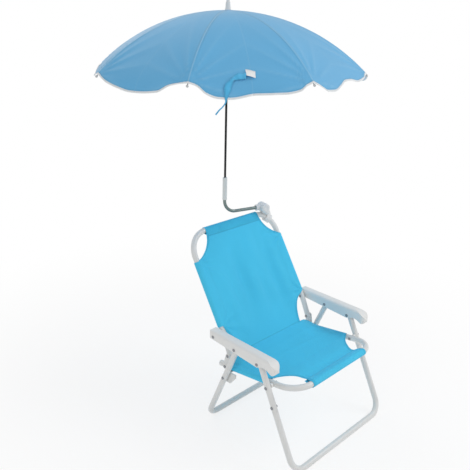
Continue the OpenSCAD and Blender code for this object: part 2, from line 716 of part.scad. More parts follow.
// One rib: an eye on the crown's wire, a bent rod and a ball at the tip
module rib(i) {
  color("silver") in_umbrella() rotate([0, 0, rib_phase + i * 360 / rib_count]) difference() {
    union() {
      translate([0, 0, curve_z]) rotate([90, 0, 0]) rotate([0, 0, 90 - tip_angle])
        rotate_extrude(angle = tip_angle - root_angle) translate([rib_curve, 0]) circle(d = rib_d, $fn = 16);
      translate([crown_r, 0, crown_z]) rotate([90, 0, 0]) cylinder(d = rib_d + 0.6, h = rib_d - 0.5, center = true, $fn = 24);
      translate([rib_reach, 0, curve_z + rib_curve * cos(tip_angle)]) sphere(d = tip_d, $fn = 20);
    }
    translate([crown_r, 0, crown_z]) rotate([90, 0, 0]) cylinder(d = pin_d + 2 * bolt_fit, h = 2 * rib_d, center = true);
  }
}
module rib_1() rib(0);
module rib_2() rib(1);
module rib_3() rib(2);
module rib_4() rib(3);
module rib_5() rib(4);
module rib_6() rib(5);
module rib_7() rib(6);
module rib_8() rib(7);

// One stretcher: an eye on the runner's wire and a flat pad beside the rib
reach_r = joint_r - runner_r;
reach_z = joint_z - runner_z;
stretcher_len = norm([reach_r, reach_z]) - 2;
module stretcher(i) {
  color("silver") in_umbrella() rotate([0, 0, rib_phase + i * 360 / rib_count]) difference() {
    translate([runner_r, rib_side, runner_z]) rotate([0, -atan2(reach_z, reach_r), 0]) {
      rotate([90, 0, 0]) cylinder(d = stretcher_d + 1.6, h = stretcher_d - 0.4, center = true, $fn = 24);
      translate([0, 0, 0]) rotate([0, 90, 0]) cylinder(d = stretcher_d, h = stretcher_len, $fn = 16);
      translate([stretcher_len, 0, 0]) rotate([90, 0, 0])
        cylinder(d = 5, h = stretcher_d - 0.4, center = true, $fn = 24);
    }
    translate([runner_r, rib_side, runner_z]) rotate([90, 0, 0]) cylinder(d = pin_d + 2 * bolt_fit, h = 2 * stretcher_d, center = true);
  }
}
module stretcher_1() stretcher(0);
module stretcher_2() stretcher(1);
module stretcher_3() stretcher(2);
module stretcher_4() stretcher(3);
module stretcher_5() stretcher(4);
module stretcher_6() stretcher(5);
module stretcher_7() stretcher(6);
module stretcher_8() stretcher(7);

// Canopy: cloth over the ribs, drawn in between them, with a scalloped hem
gore_steps = 8;
ring_steps = 12;
canopy_cols = rib_count * gore_steps;
hole_angle = asin((pole_d / 2 + 0.6) / cloth_in);
hem_angle = tip_angle - 0.7;
function across_gore(j) = abs(2 * ((j % gore_steps) / gore_steps) - 1);
function canopy_point(i, j, k) =
  let (t = across_gore(j), mid = 1 - pow(t, 2), drop = 1 - pow(t, 4),
       angle = hole_angle + (hem_angle + scallop * drop - hole_angle) * i / ring_steps,
       share = min(1, i / ring_steps * 1.6),
       ball = cloth_in + k * canopy_t,
       flat = 1 - gore_flat * mid * share,
       turn = rib_phase + 360 * j / canopy_cols)
  [ball * sin(angle) * flat * cos(turn), ball * sin(angle) * flat * sin(turn), curve_z + ball * cos(angle)];
canopy_points = [for (k = [0, 1]) for (i = [0:ring_steps]) for (j = [0:canopy_cols - 1]) canopy_point(i, j, k)];
function canopy_at(i, j, k) = k * (ring_steps + 1) * canopy_cols + i * canopy_cols + j % canopy_cols;
canopy_faces = concat(
  [for (i = [0:ring_steps - 1]) for (j = [0:canopy_cols - 1]) each [
    [canopy_at(i, j, 1), canopy_at(i, j + 1, 1), canopy_at(i + 1, j, 1)],
    [canopy_at(i, j + 1, 1), canopy_at(i + 1, j + 1, 1), canopy_at(i + 1, j, 1)],
    [canopy_at(i, j, 0), canopy_at(i + 1, j, 0), canopy_at(i, j + 1, 0)],
    [canopy_at(i, j + 1, 0), canopy_at(i + 1, j, 0), canopy_at(i + 1, j + 1, 0)]]],
  [for (j = [0:canopy_cols - 1]) each [
    [canopy_at(0, j, 0), canopy_at(0, j + 1, 0), canopy_at(0, j, 1)],
    [canopy_at(0, j + 1, 0), canopy_at(0, j + 1, 1), canopy_at(0, j, 1)],
    [canopy_at(ring_steps, j, 0), canopy_at(ring_steps, j, 1), canopy_at(ring_steps, j + 1, 0)],
    [canopy_at(ring_steps, j + 1, 0), canopy_at(ring_steps, j, 1), canopy_at(ring_steps, j + 1, 1)]]]);
module canopy() color(cloth_blue) in_umbrella() polyhedron(points = canopy_points, faces = canopy_faces, convexity = 6);

// A place on the canopy's outer face at a turn round the pole and an angle from its top
function gore_share(turn) = let (g = (turn - rib_phase) * rib_count / 360) abs(2 * (g - floor(g)) - 1);
function on_canopy(place, lift) =
  let (t = gore_share(place[0]), drop = 1 - pow(t, 4), ball = cloth_in + canopy_t + lift,
       share = min(1, (place[1] - hole_angle) / (hem_angle + scallop * drop - hole_angle) * 1.6),
       r = ball * sin(place[1]) * (1 - gore_flat * (1 - t * t) * share))
  [r * cos(place[0]), r * sin(place[0]), curve_z + ball * cos(place[1])];

// Tie strap: its upper and lower edges as [turn, angle] places, from the label past the hem
strap_edges = [
  [[232.4, 39.6], [232.4, 41.7]], [[230.2, 39.8], [230.4, 42.0]], [[228.2, 40.6], [229.2, 42.8]],
  [[226.6, 42.3], [228.4, 43.8]], [[225.7, 44.4], [227.6, 45.2]], [[225.3, 46.4], [227.0, 46.8]],
  [[225.2, 48.4], [226.7, 48.6]], [[224.9, 50.2], [226.0, 50.3]], [[223.9, 52.2], [224.6, 52.4]]];
strap_t = 0.8;
label_low = [232.9, 41.5];
label_high = [236.1, 39.0];
module tie_strap() {
  rows = len(strap_edges) - 1;
  color(sky) in_umbrella() polyhedron(
    points = grid_points(rows, 2, function(u, v, k) let (e = strap_edges[round(u * rows)])
      on_canopy(e[0] * (1 - v) + e[1] * v, air + k * strap_t)),
    faces = grid_faces(rows, 2), convexity = 4);
}
module care_label() {
  color(white) in_umbrella() polyhedron(
    points = grid_points(2, 3, function(u, v, k)
      on_canopy([label_low[0] + v * (label_high[0] - label_low[0]), label_high[1] + u * (label_low[1] - label_high[1])],
        air + k * strap_t)),
    faces = grid_faces(2, 3), convexity = 4);
}

front_leg_left();
front_leg_right();
front_floor_frame();
front_leg_rivets();
rear_leg_left();
rear_leg_right();
rear_floor_frame();
rear_leg_rivets();
rail_rests();
seat_frame();
seat_rail_caps();
seat_hinge_plates();
seat_plate_rivets();
seat_pivot_bolts();
seat_pivot_spacers();
sling_seat();
back_frame();
back_tube_plugs();
back_pivot_bolts();
sling_back();
clamp_body();
armrest_left();
armrest_right();
arm_bolts();
arm_washers();
clamp_jaw();
clamp_knob();
umbrella_rod();
pole_sleeve();
umbrella_pole();
crown();
ferrule();
canopy();
tie_strap();
care_label();
runner();
rib_1();
rib_2();
rib_3();
rib_4();
rib_5();
rib_6();
rib_7();
rib_8();
stretcher_1();
stretcher_2();
stretcher_3();
stretcher_4();
stretcher_5();
stretcher_6();
stretcher_7();
stretcher_8();
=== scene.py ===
import json
import math

import bmesh
import bpy
import numpy as np
from mathutils import Matrix, Vector


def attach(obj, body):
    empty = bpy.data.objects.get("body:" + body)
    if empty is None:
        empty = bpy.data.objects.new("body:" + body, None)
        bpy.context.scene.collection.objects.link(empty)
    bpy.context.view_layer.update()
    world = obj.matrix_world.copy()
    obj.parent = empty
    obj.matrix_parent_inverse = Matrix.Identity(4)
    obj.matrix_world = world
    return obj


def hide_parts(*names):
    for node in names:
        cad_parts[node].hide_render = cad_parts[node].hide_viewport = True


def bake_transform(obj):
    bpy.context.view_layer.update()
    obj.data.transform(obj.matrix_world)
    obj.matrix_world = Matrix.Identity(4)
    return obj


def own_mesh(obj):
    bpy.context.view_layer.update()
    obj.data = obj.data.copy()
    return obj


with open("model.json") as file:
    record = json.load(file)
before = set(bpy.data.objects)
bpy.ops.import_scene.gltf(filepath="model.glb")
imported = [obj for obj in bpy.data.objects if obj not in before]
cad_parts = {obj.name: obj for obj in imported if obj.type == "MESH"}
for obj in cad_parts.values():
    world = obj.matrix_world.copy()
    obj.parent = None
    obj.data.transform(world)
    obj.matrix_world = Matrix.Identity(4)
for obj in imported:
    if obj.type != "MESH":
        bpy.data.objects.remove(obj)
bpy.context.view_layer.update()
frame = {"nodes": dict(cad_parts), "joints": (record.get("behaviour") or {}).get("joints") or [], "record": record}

bl_info = {
    "name": "Child beach chair with umbrella",
    "version": (1, 0, 0),
    "blender": (4, 5, 0),
    "location": "3D View > Sidebar > Beach chair",
    "description": "Dresses the folding chair and its clamp-on umbrella in cloth, paint and plastic",
    "category": "Add Mesh",
}

# Places that come from the frame's joints, in metres
JOINTS = {j["name"]: j for j in frame["joints"]}
SEAT_PIVOT = JOINTS["seat_fold"]["pos_m"]
BACK_PIVOT = JOINTS["arm_fold"]["pos_m"]
POLE_Y = JOINTS["pole_turn"]["pos_m"][1]
KNOB_PLACE = JOINTS["knob_turn"]["pos_m"]
ROD_Z = JOINTS["umbrella_tilt"]["pos_m"][2]
CROWN_Z = JOINTS["rib_1_hinge"]["pos_m"][2]
ROD_AXIS = JOINTS["umbrella_tilt"]["axis"]
ROD_TURN = math.atan2(ROD_AXIS[1], ROD_AXIS[0])

# The tubes that carry the sling: half the width between their middles, their reach, and a sleeve's radius
BACK_UP = math.radians(58)
SEAT_TILT = math.radians(8.95)
RAIL_HALF = 0.157
BACK_RISE = 0.2635
SEAT_REACH = 0.072
ROLL = 0.0085

# The ribs lie on a ball, and the cloth on another just outside it; distances in metres, turns in degrees
RIBS = 8
RIB_STEP = 360 / RIBS
RIB_PHASE = -12.5
RIB_CURVE = 0.4975
RIB_RADIUS = 0.0013
CLOTH_GAP = 0.0006
HINGES_OUT, TIPS_OUT, HOLE_RADIUS = 0.008, 0.35, 0.0036
CLOTH_BALL = RIB_CURVE + RIB_RADIUS + CLOTH_GAP
CURVE_Z = CROWN_Z - math.sqrt(RIB_CURVE**2 - HINGES_OUT**2)
CANOPY_MIDDLE = np.array([0, POLE_Y, CURVE_Z])
# Angles down from the top: hole for the pole, and hem at the ribs, 0.7 short of their tips
HOLE_ANGLE = math.degrees(math.asin(HOLE_RADIUS / CLOTH_BALL))
HEM_ANGLE = math.degrees(math.asin(TIPS_OUT / RIB_CURVE)) - 0.7
# Drop of a regular hem between two ribs, and how much flatter than the ball a gore is there
SCALLOP = 3.6
GORE_FLAT = 0.06
# Degrees of free cloth above the line between two tips, and how fast it turns down
FREE_HEM = 2.5
HANG = 3.6
# Hem of the gores that hang unevenly: place across the gore after a rib, and degrees below the ribs' tips
GORE_HEMS = {
    4: [(0, 0), (0.15, 0.9), (0.5, 1.9), (0.85, 1.0), (1, 0)],
    5: [
        (0, 0), (0.17, 2.2), (0.3, 3.1), (0.44, 3.6), (0.6, 3.5),
        (0.74, 3.1), (0.84, 1.4), (0.93, 0.5), (1, 0),
    ],
    6: [
        (0, 0), (0.07, 0.9), (0.145, 3.0), (0.23, 3.9), (0.32, 4.0),
        (0.53, 2.9), (0.745, 3.0), (0.88, 2.3), (0.93, 1.1), (1, 0),
    ],
    7: [
        (0, 0), (0.07, 1.5), (0.14, 2.9), (0.26, 3.1), (0.4, 2.0),
        (0.52, 0.9), (0.62, 1.0), (0.75, 1.9), (0.88, 1.4), (1, 0),
    ],
}


def colour(name, text, value):
    return bpy.props.FloatVectorProperty(
        name=name, description=text, default=(*value, 1), size=4, min=0, max=1, subtype="COLOR"
    )


def length(name, text, value):
    return bpy.props.FloatProperty(
        name=name, description=text, default=value, min=0, precision=4, unit="LENGTH", subtype="DISTANCE"
    )


def amount(name, text, value, **limits):
    return bpy.props.FloatProperty(name=name, description=text, default=value, **limits)


class ChairSizes(bpy.types.PropertyGroup):
    """Sizes of the sling and the canopy"""

    cloth: length("Sling thickness", "Thickness of the sling cloth", 0.0011)
    seat_sag: length("Seat sag", "Sag of the seat's cloth at its middle", 0.011)
    back_sag: length("Back sag", "Sag of the back's cloth at its middle", 0.009)
    folds: length("Fold depth", "Depth of the soft folds down the back", 0.0062)
    canopy: length("Canopy thickness", "Thickness of the canopy's cloth", 0.0006)
    binding: length("Binding width", "Width of the tape sewn over the canopy's hem", 0.0038)
    pleats: length("Pleat depth", "Depth of the small pleats that spread from each rib's tip", 0.0026)
    strap: length("Strap thickness", "Thickness of the tie strap and the label", 0.0005)


class ChairColours(bpy.types.PropertyGroup):
    """Colours of the cloth, paint and plastic"""

    sling: colour("Sling", "Sky blue cloth of seat and back", (0.072, 0.58, 0.865))
    canopy: colour("Canopy", "Smooth blue cloth of the umbrella", (0.128, 0.435, 0.73))
    strap: colour("Tie strap", "Silky strap that ties the closed umbrella", (0.085, 0.46, 0.78))
    binding: colour("Binding", "Tape sewn over the canopy's hem", (0.85, 0.88, 0.9))
    label: colour("Label", "Blank care label", (0.86, 0.87, 0.88))
    frame: colour("Frame", "Powder coat of the tubes", (0.74, 0.745, 0.735))
    plastic: colour("Plastic", "Moulded armrests", (0.8, 0.8, 0.785))
    clamp: colour("Clamp", "Milky plastic of the clamp and ferrule", (0.79, 0.79, 0.78))
    steel: colour("Rivets", "Dull steel of rivets and bolts", (0.3, 0.31, 0.33))
    rod: colour("Rod", "Galvanised umbrella rod", (0.2, 0.25, 0.24))
    pole: colour("Pole", "Black paint of the umbrella pole", (0.006, 0.006, 0.007))
    sleeve: colour("Pole sleeve", "Grey sleeve that holds the pole", (0.71, 0.73, 0.71))
    ribs: colour("Ribs", "Plated wire of ribs and stretchers", (0.5, 0.51, 0.52))


class ChairStage(bpy.types.PropertyGroup):
    """Floor, lamps and camera"""

    floor: colour("Floor", "Pale studio floor", (0.95, 0.95, 0.95))
    world: amount("World", "Strength of the even light from all round", 0.62, min=0)
    key: amount("Key lamp", "Power of the large lamp", 24, min=0, unit="POWER")
    lens: amount("Lens", "Focal length in millimetres", 45.95, min=1)


def smooth(places, points):
    """Smooth monotone curve through points, as (place, value) rows, at one or more places."""
    x, y = np.array(sorted(points), float).T
    gap = np.diff(x)
    slope = np.diff(y) / gap
    m = np.zeros(len(x))
    m[0], m[-1] = slope[0], slope[-1]
    for i in range(1, len(x) - 1):
        if slope[i - 1] * slope[i] > 0:
            w1, w2 = 2 * gap[i] + gap[i - 1], gap[i] + 2 * gap[i - 1]
            m[i] = (w1 + w2) / (w1 / slope[i - 1] + w2 / slope[i])
    v = np.clip(np.asarray(places, float), x[0], x[-1])
    k = np.clip(np.searchsorted(x, v) - 1, 0, len(gap) - 1)
    t = (v - x[k]) / gap[k]
    leave, arrive = t**3 - 2 * t**2 + t, t**3 - t**2
    end = 3 * t**2 - 2 * t**3
    return (1 - end) * y[k] + end * y[k + 1] + gap[k] * (leave * m[k] + arrive * m[k + 1])


def ease(t):
    t = np.clip(t, 0, 1)
    return t * t * (3 - 2 * t)


def hump(x, middle, wide):
    """A soft rise of height 1."""
    return np.exp(-(((x - middle) / wide) ** 2))


def ridges(table, x, along):
    """Sum of soft ridges, from rows of height, place, lean and width."""
    return sum(high * hump(x, place + lean * along, wide) for high, place, lean, wide in table)


def unit(rows):
    return rows / np.linalg.norm(rows, axis=-1, keepdims=True)


def in_back(x, v, n):
    """A place in the back's own frame: across, up the tubes, and out to the front."""
    c, s = math.cos(BACK_UP), math.sin(BACK_UP)
    x, v, n = np.broadcast_arrays(x, v, n)
    return np.stack([x, BACK_PIVOT[1] + v * c - n * s, BACK_PIVOT[2] + v * s + n * c], -1)


def in_seat(x, s, h):
    """A place in the seat's own frame: across, back along the rails, and up."""
    c, t = math.cos(SEAT_TILT), math.sin(SEAT_TILT)
    x, s, h = np.broadcast_arrays(x, s, h)
    return np.stack([x, SEAT_PIVOT[1] + s * c + h * t, SEAT_PIVOT[2] - s * t + h * c], -1)


def from_seat(point):
    """How far a point lies along the rails and above them."""
    c, t = math.cos(SEAT_TILT), math.sin(SEAT_TILT)
    y, z = point[1] - SEAT_PIVOT[1], point[2] - SEAT_PIVOT[2]
    return y * c - z * t, y * t + z * c


def hem_angle(turn):
    """Angle of the canopy's hem at a turn round the pole, in degrees."""
    place = (np.asarray(turn, float) - RIB_PHASE) / RIB_STEP
    gore = np.floor(place + 1e-9)
    across = np.clip(place - gore, 0, 1)
    drop = SCALLOP * (1 - abs(2 * across - 1) ** 4)
    for number, hem in GORE_HEMS.items():
        drop = np.where(gore.astype(int) % RIBS + 1 == number, smooth(across, hem), drop)
    return HEM_ANGLE + drop


def on_canopy(turn, angle, lift=0.0):
    """A place on the canopy's inner face at a turn round the pole and an angle from its top, in degrees."""
    turn, angle = np.broadcast_arrays(np.asarray(turn, float), np.asarray(angle, float))
    gore = (turn - RIB_PHASE) / RIB_STEP
    middle = 1 - (2 * (gore - np.floor(gore)) - 1) ** 2
    flat = GORE_FLAT * middle * ease((angle - HOLE_ANGLE) / HEM_ANGLE * 1.7)
    ball = CLOTH_BALL + lift
    a, b = np.radians(angle), np.radians(turn)
    # Below the line between two tips the cloth hangs free and turns down
    free = np.radians(np.maximum(0, angle - HEM_ANGLE + FREE_HEM * middle)) * np.sqrt(np.clip(middle, 0, 1))
    hang = HANG * (ball * free) ** 2
    r = (ball * (1 - flat) - hang) * np.sin(a)
    return np.stack([r * np.cos(b), POLE_Y + r * np.sin(b), CURVE_Z + (ball - hang) * np.cos(a)], -1)


def make_object(name, points, faces, material, uv, values):
    """A smooth mesh object with a UV map and named values at its points."""
    mesh = bpy.data.meshes.new(name)
    mesh.from_pydata([tuple(p) for p in points], [], faces)
    mesh.materials.append(material)
    corners = np.zeros(len(mesh.loops), np.int32)
    mesh.loops.foreach_get("vertex_index", corners)
    layer = mesh.uv_layers.new(name="cloth")
    layer.data.foreach_set("uv", np.asarray(uv, np.float32)[corners].ravel())
    for key, data in values.items():
        mesh.attributes.new(key, "FLOAT", "POINT").data.foreach_set("value", np.asarray(data, np.float32))
    mesh.polygons.foreach_set("use_smooth", [True] * len(mesh.polygons))
    mesh.update()
    obj = bpy.data.objects.new(name, mesh)
    bpy.context.scene.collection.objects.link(obj)
    return obj


def settle(obj, modifier, angle):
    """Applies a modifier, and shades the object smooth up to an angle."""
    bpy.ops.object.select_all(action="DESELECT")
    obj.select_set(True)
    bpy.context.view_layer.objects.active = obj
    bpy.ops.object.modifier_apply(modifier=modifier.name)
    bpy.ops.object.shade_smooth_by_angle(angle=math.radians(angle))


def thicken(obj, thickness, offset=0.0):
    """Gives a sheet its thickness, and returns the sheet's area."""
    area = sum(p.area for p in obj.data.polygons)
    wall = obj.modifiers.new("Thickness", "SOLIDIFY")
    wall.thickness = thickness
    wall.offset = offset
    wall.use_even_offset = False
    settle(obj, wall, 60)
    return area


def grid_quads(rows, cols):
    """Faces of a grid whose points lie row by row."""
    wide = cols + 1
    corners = [i * wide + j for i in range(rows) for j in range(cols)]
    return [(a, a + 1, a + wide + 1, a + wide) for a in corners]


def cloth_sheet(name, points, cols, material, uv, values, thickness):
    """A sheet of cloth from rows of points that lie on the canopy; returns it with its area."""
    faces = [q[::-1] for q in grid_quads(len(points) // (cols + 1) - 1, cols)]
    sheet = make_object(name, points, faces, material, uv, values)
    return sheet, thicken(sheet, thickness)


class Nodes:
    """Short ways to add nodes to a tree."""

    def __init__(self, tree):
        self.tree = tree

    def feed(self, socket, source):
        """Links a socket, or sets its value."""
        if isinstance(source, bpy.types.NodeSocket):
            self.tree.links.new(source, socket)
        else:
            socket.default_value = source

    def add(self, kind, **sources):
        """Adds a node and feeds its sockets; an underscore stands for a space in a socket's name."""
        node = self.tree.nodes.new(kind)
        for key, source in sources.items():
            self.feed(node.inputs[key.replace("_", " ")], source)
        return node

    def maths(self, kind, *values, clamp=False):
        node = self.tree.nodes.new("ShaderNodeMath")
        node.operation = kind
        node.use_clamp = clamp
        for socket, value in zip(node.inputs, values):
            self.feed(socket, value)
        return node.outputs[0]

    def times(self, a, b, clamp=False):
        return self.maths("MULTIPLY", a, b, clamp=clamp)

    def times_plus(self, a, b, c, clamp=False):
        return self.maths("MULTIPLY_ADD", a, b, c, clamp=clamp)

    def mixed(self, factor, a, b, kind="MIX"):
        node = self.tree.nodes.new("ShaderNodeMix")
        node.data_type = "RGBA"
        node.blend_type = kind
        for socket, source in ((0, factor), (6, a), (7, b)):
            self.feed(node.inputs[socket], source)
        return node.outputs[2]

    def noise(self, vector, scale, detail=2.0, rough=0.5):
        node = self.add("ShaderNodeTexNoise", Vector=vector, Scale=scale, Detail=detail, Roughness=rough)
        return node.outputs["Fac"]

    def ramp(self, value, low, high, out_low=0.0, out_high=1.0):
        limits = {"From_Min": low, "From_Max": high, "To_Min": out_low, "To_Max": out_high}
        node = self.add("ShaderNodeMapRange", Value=value, **limits)
        node.interpolation_type = "SMOOTHSTEP"
        return node.outputs["Result"]

    def split(self, vector):
        return self.add("ShaderNodeSeparateXYZ", Vector=vector).outputs


class Group(Nodes):
    """A node group for an effect that several finishes share."""

    def __init__(self, name, inputs, outputs, reads_place=True):
        super().__init__(bpy.data.node_groups.new(name, "ShaderNodeTree"))
        sockets = self.tree.interface
        if reads_place:
            sockets.new_socket("Vector", in_out="INPUT", socket_type="NodeSocketVector")
        for label, value in inputs.items():
            sockets.new_socket(label, in_out="INPUT", socket_type="NodeSocketFloat").default_value = value
        for label in outputs:
            sockets.new_socket(label, in_out="OUTPUT", socket_type="NodeSocketFloat")
        self.given = self.tree.nodes.new("NodeGroupInput").outputs
        self.vector = self.given.get("Vector")
        self.out = self.tree.nodes.new("NodeGroupOutput").inputs

    def give(self, **results):
        for label, source in results.items():
            self.feed(self.out[label], source)

    def swing(self, value, size, rest):
        """A value from 0 to 1 turned into a change of a given size round a rest."""
        return self.times_plus(self.maths("SUBTRACT", value, 0.5), size, rest)


def weave_group():
    """Plain weave: over and under threads, with a little unevenness in each thread."""
    g = Group("Plain weave", {"Threads": 1400.0, "Unevenness": 0.3}, ["Height", "Shade"])
    across, along, _ = g.split(g.vector)
    turn = g.times(g.given["Threads"], math.pi)
    warp = g.maths("SINE", g.times(across, turn))
    weft = g.maths("SINE", g.times(along, turn))
    over = g.maths("GREATER_THAN", g.times(warp, weft), 0.0)
    high = g.tree.nodes.new("ShaderNodeMix")
    for socket, source in ((0, over), (2, g.maths("ABSOLUTE", warp)), (3, g.maths("ABSOLUTE", weft))):
        g.feed(high.inputs[socket], source)
    slub = g.noise(g.vector, 900.0, 3.0)
    height = g.swing(slub, g.given["Unevenness"], high.outputs[0])
    # Shade: the threads' crowns lighter and the hollows between them darker, as painted shade
    g.give(Height=height, Shade=g.times_plus(height, 0.16, 0.9))


def tone_group():
    """Broad soft change of tone, with fine mottling."""
    g = Group("Soft tone", {"Scale": 9.0, "Amount": 0.1, "Fine": 0.03}, ["Shade"])
    broad = g.noise(g.vector, g.given["Scale"])
    fine = g.noise(g.vector, 260.0, 4.0, 0.65)
    g.give(Shade=g.swing(fine, g.given["Fine"], g.swing(broad, g.given["Amount"], 1.0)))


def stitch_group():
    """A sewn line: a groove and the stitches in it, from the distance to the seam and the run along it."""
    sizes = {"Distance": 1.0, "Run": 0.0, "Pitch": 0.0032, "Width": 0.0007}
    g = Group("Stitches", sizes, ["Thread", "Groove", "Height"], reads_place=False)
    distance, width = g.given["Distance"], g.given["Width"]
    near = g.ramp(distance, g.times(width, 0.5), width, 1.0, 0.0)
    wave = g.maths("SINE", g.maths("DIVIDE", g.times(g.given["Run"], 2 * math.pi), g.given["Pitch"]))
    thread = g.times(near, g.ramp(wave, -0.55, -0.2))
    # The groove shapes the bump, and also darkens the cloth as painted shade
    groove = g.ramp(distance, 0.0, g.times(width, 4.0), 1.0, 0.0)
    g.give(Thread=thread, Groove=groove, Height=g.maths("SUBTRACT", g.times(thread, 0.6), groove))


def grain_group():
    """Fine surface texture of paint or moulded plastic."""
    g = Group("Surface grain", {"Scale": 700.0, "Waviness": 60.0}, ["Height", "Mottle"])
    fine = g.noise(g.vector, g.given["Scale"])
    broad = g.noise(g.vector, g.given["Waviness"])
    g.give(Height=g.times_plus(broad, 1.5, fine), Mottle=broad)


def wear_group():
    """Sparse scuffs and handling marks, more of them near the floor."""
    g = Group("Wear", {"Amount": 0.5, "Floor reach": 0.12}, ["Scuffs", "Dust"])
    stretch = g.add("ShaderNodeMapping", Vector=g.vector, Scale=(1.0, 1.0, 0.25))
    streak = g.noise(stretch.outputs[0], 210.0, 5.0, 0.7)
    patch = g.noise(g.vector, 23.0)
    low = g.ramp(g.split(g.vector)[2], 0.0, g.given["Floor reach"], 1.0, 0.0)
    mask = g.times(g.ramp(streak, 0.62, 0.72), g.ramp(patch, 0.45, 0.7))
    scuffs = g.times(g.times(mask, g.times_plus(low, 0.8, 0.35)), g.given["Amount"], clamp=True)
    g.give(Scuffs=scuffs, Dust=g.times(low, g.times(patch, g.given["Amount"])))


class Finish(Nodes):
    """A node material under construction."""

    def __init__(self, name, roughness, **constants):
        self.material = bpy.data.materials.new(name)
        self.material.use_nodes = True
        super().__init__(self.material.node_tree)
        self.shader = next(n for n in self.tree.nodes if n.type == "BSDF_PRINCIPLED")
        for key, value in {"Roughness": roughness, **constants}.items():
            self.shader.inputs[key.replace("_", " ")].default_value = value
        place = self.tree.nodes.new("ShaderNodeTexCoord")
        self.xyz, self.uv = place.outputs["Object"], place.outputs["UV"]

    def use(self, name, **inputs):
        """Adds one of the shared groups."""
        node = self.tree.nodes.new("ShaderNodeGroup")
        node.node_tree = bpy.data.node_groups[name]
        for key, value in inputs.items():
            self.feed(node.inputs[key], value)
        return node.outputs

    def value(self, key):
        """A named value from the piece's points."""
        node = self.tree.nodes.new("ShaderNodeAttribute")
        node.attribute_name = key
        return node.outputs["Fac"]

    def shade(self, tint, *factors):
        """A colour multiplied by one or more grey values."""
        for f in factors:
            grey = self.add("ShaderNodeCombineColor", Red=f, Green=f, Blue=f)
            tint = self.mixed(1.0, tint, grey.outputs[0], "MULTIPLY")
        return tint

    def finish(self, tint, bumps, roughness=None):
        """Feeds the shader with a colour, bumps as (height, distance, strength) rows, and a roughness."""
        self.feed(self.shader.inputs["Base Color"], tint)
        if roughness is not None:
            self.feed(self.shader.inputs["Roughness"], roughness)
        last = None
        for height, distance, strength in bumps:
            bump = self.add("ShaderNodeBump", Distance=distance, Strength=strength, Height=height)
            if last is not None:
                self.feed(bump.inputs["Normal"], last)
            last = bump.outputs[0]
        self.feed(self.shader.inputs["Normal"], last)


def cloth_finish(name, tint, threads, roughness, sheen, thread_tint, broad, weave_depth):
    """Woven cloth with tone, weave and sewn lines, which read the piece's own distances to its seams; the weave's
    hollows and the sewn lines' grooves get painted shade.
    """
    f = Finish(name, roughness, Sheen_Weight=sheen, Sheen_Roughness=0.4, Specular_IOR_Level=0.25)
    weave = f.use("Plain weave", Vector=f.uv, Threads=threads)
    tone = f.use("Soft tone", Vector=f.uv, Scale=broad, Amount=0.14, Fine=0.06)
    across, along, _ = f.split(f.uv)
    sewn = f.use("Stitches", Distance=f.value("seam"), Run=f.maths("ADD", across, along))
    # Painted shade: the weave's hollows and the groove of each sewn line are darkened
    base = f.shade(tuple(tint), weave["Shade"], tone["Shade"], f.times_plus(sewn["Groove"], -0.16, 1.0))
    base = f.mixed(sewn["Thread"], base, (*thread_tint, 1))
    return f, base, [(weave["Height"], 0.0003, weave_depth), (sewn["Height"], 0.0006, 0.6)]


def painted(name, tint, roughness, dull, wear, grain, depth, **constants):
    """Paint, plating or moulded plastic with grain, mottling and a little wear."""
    f = Finish(name, roughness, **constants)
    grit = f.use("Surface grain", Vector=f.xyz, Scale=grain)
    tone = f.use("Soft tone", Vector=f.xyz, Scale=14.0, Amount=0.07, Fine=0.03)
    worn = f.use("Wear", Vector=f.xyz, Amount=wear)
    base = f.mixed(worn["Scuffs"], f.shade(tuple(tint), tone["Shade"]), (*dull, 1))
    base = f.mixed(f.times(worn["Dust"], 0.25), base, (0.5, 0.47, 0.42, 1))
    rough = f.times_plus(f.maths("SUBTRACT", grit["Mottle"], 0.5), 0.18, roughness, clamp=True)
    f.finish(base, [(grit["Height"], 0.0002, depth)], f.times_plus(worn["Scuffs"], 0.15, rough))


def sling_finish(tint):
    """Sling cloth, darker and raised where it lies double."""
    f, base, bumps = cloth_finish("Sling cloth", tint, 1250.0, 0.82, 0.1, (0.045, 0.36, 0.62), 7.0, 0.22)
    double = f.value("double")
    uneven = f.times_plus(f.noise(f.xyz, 26.0, 3.0), 0.55, 0.12)
    base = f.mixed(f.times(double, uneven), base, (0.035, 0.38, 0.6, 1))
    f.finish(base, [*bumps, (double, 0.0008, 0.7)])


def canopy_finish(tint):
    """Canopy cloth, lighter along its seams, with a painted highlight where the small pleats' ridges would catch
    the light.
    """
    f, base, bumps = cloth_finish("Canopy cloth", tint, 3200.0, 0.5, 0.22, (0.22, 0.47, 0.7), 5.0, 0.08)
    over_rib = f.ramp(f.value("from_rib"), 0.0009, 0.0016, 1.0, 0.0)
    between = f.ramp(f.value("from_middle"), 0.0006, 0.0014, 1.0, 0.0)
    seam = f.maths("MAXIMUM", over_rib, f.times(between, 0.35))
    base = f.mixed(f.times(seam, 0.5), base, (0.33, 0.58, 0.78, 1))
    # Painted highlight: lighter where the pleats' ridges would catch the light
    base = f.mixed(f.times(f.value("pull_and_painted_highlight"), 0.6), base, (0.27, 0.56, 0.8, 1))
    f.finish(base, [*bumps, (seam, 0.0004, 0.5)])


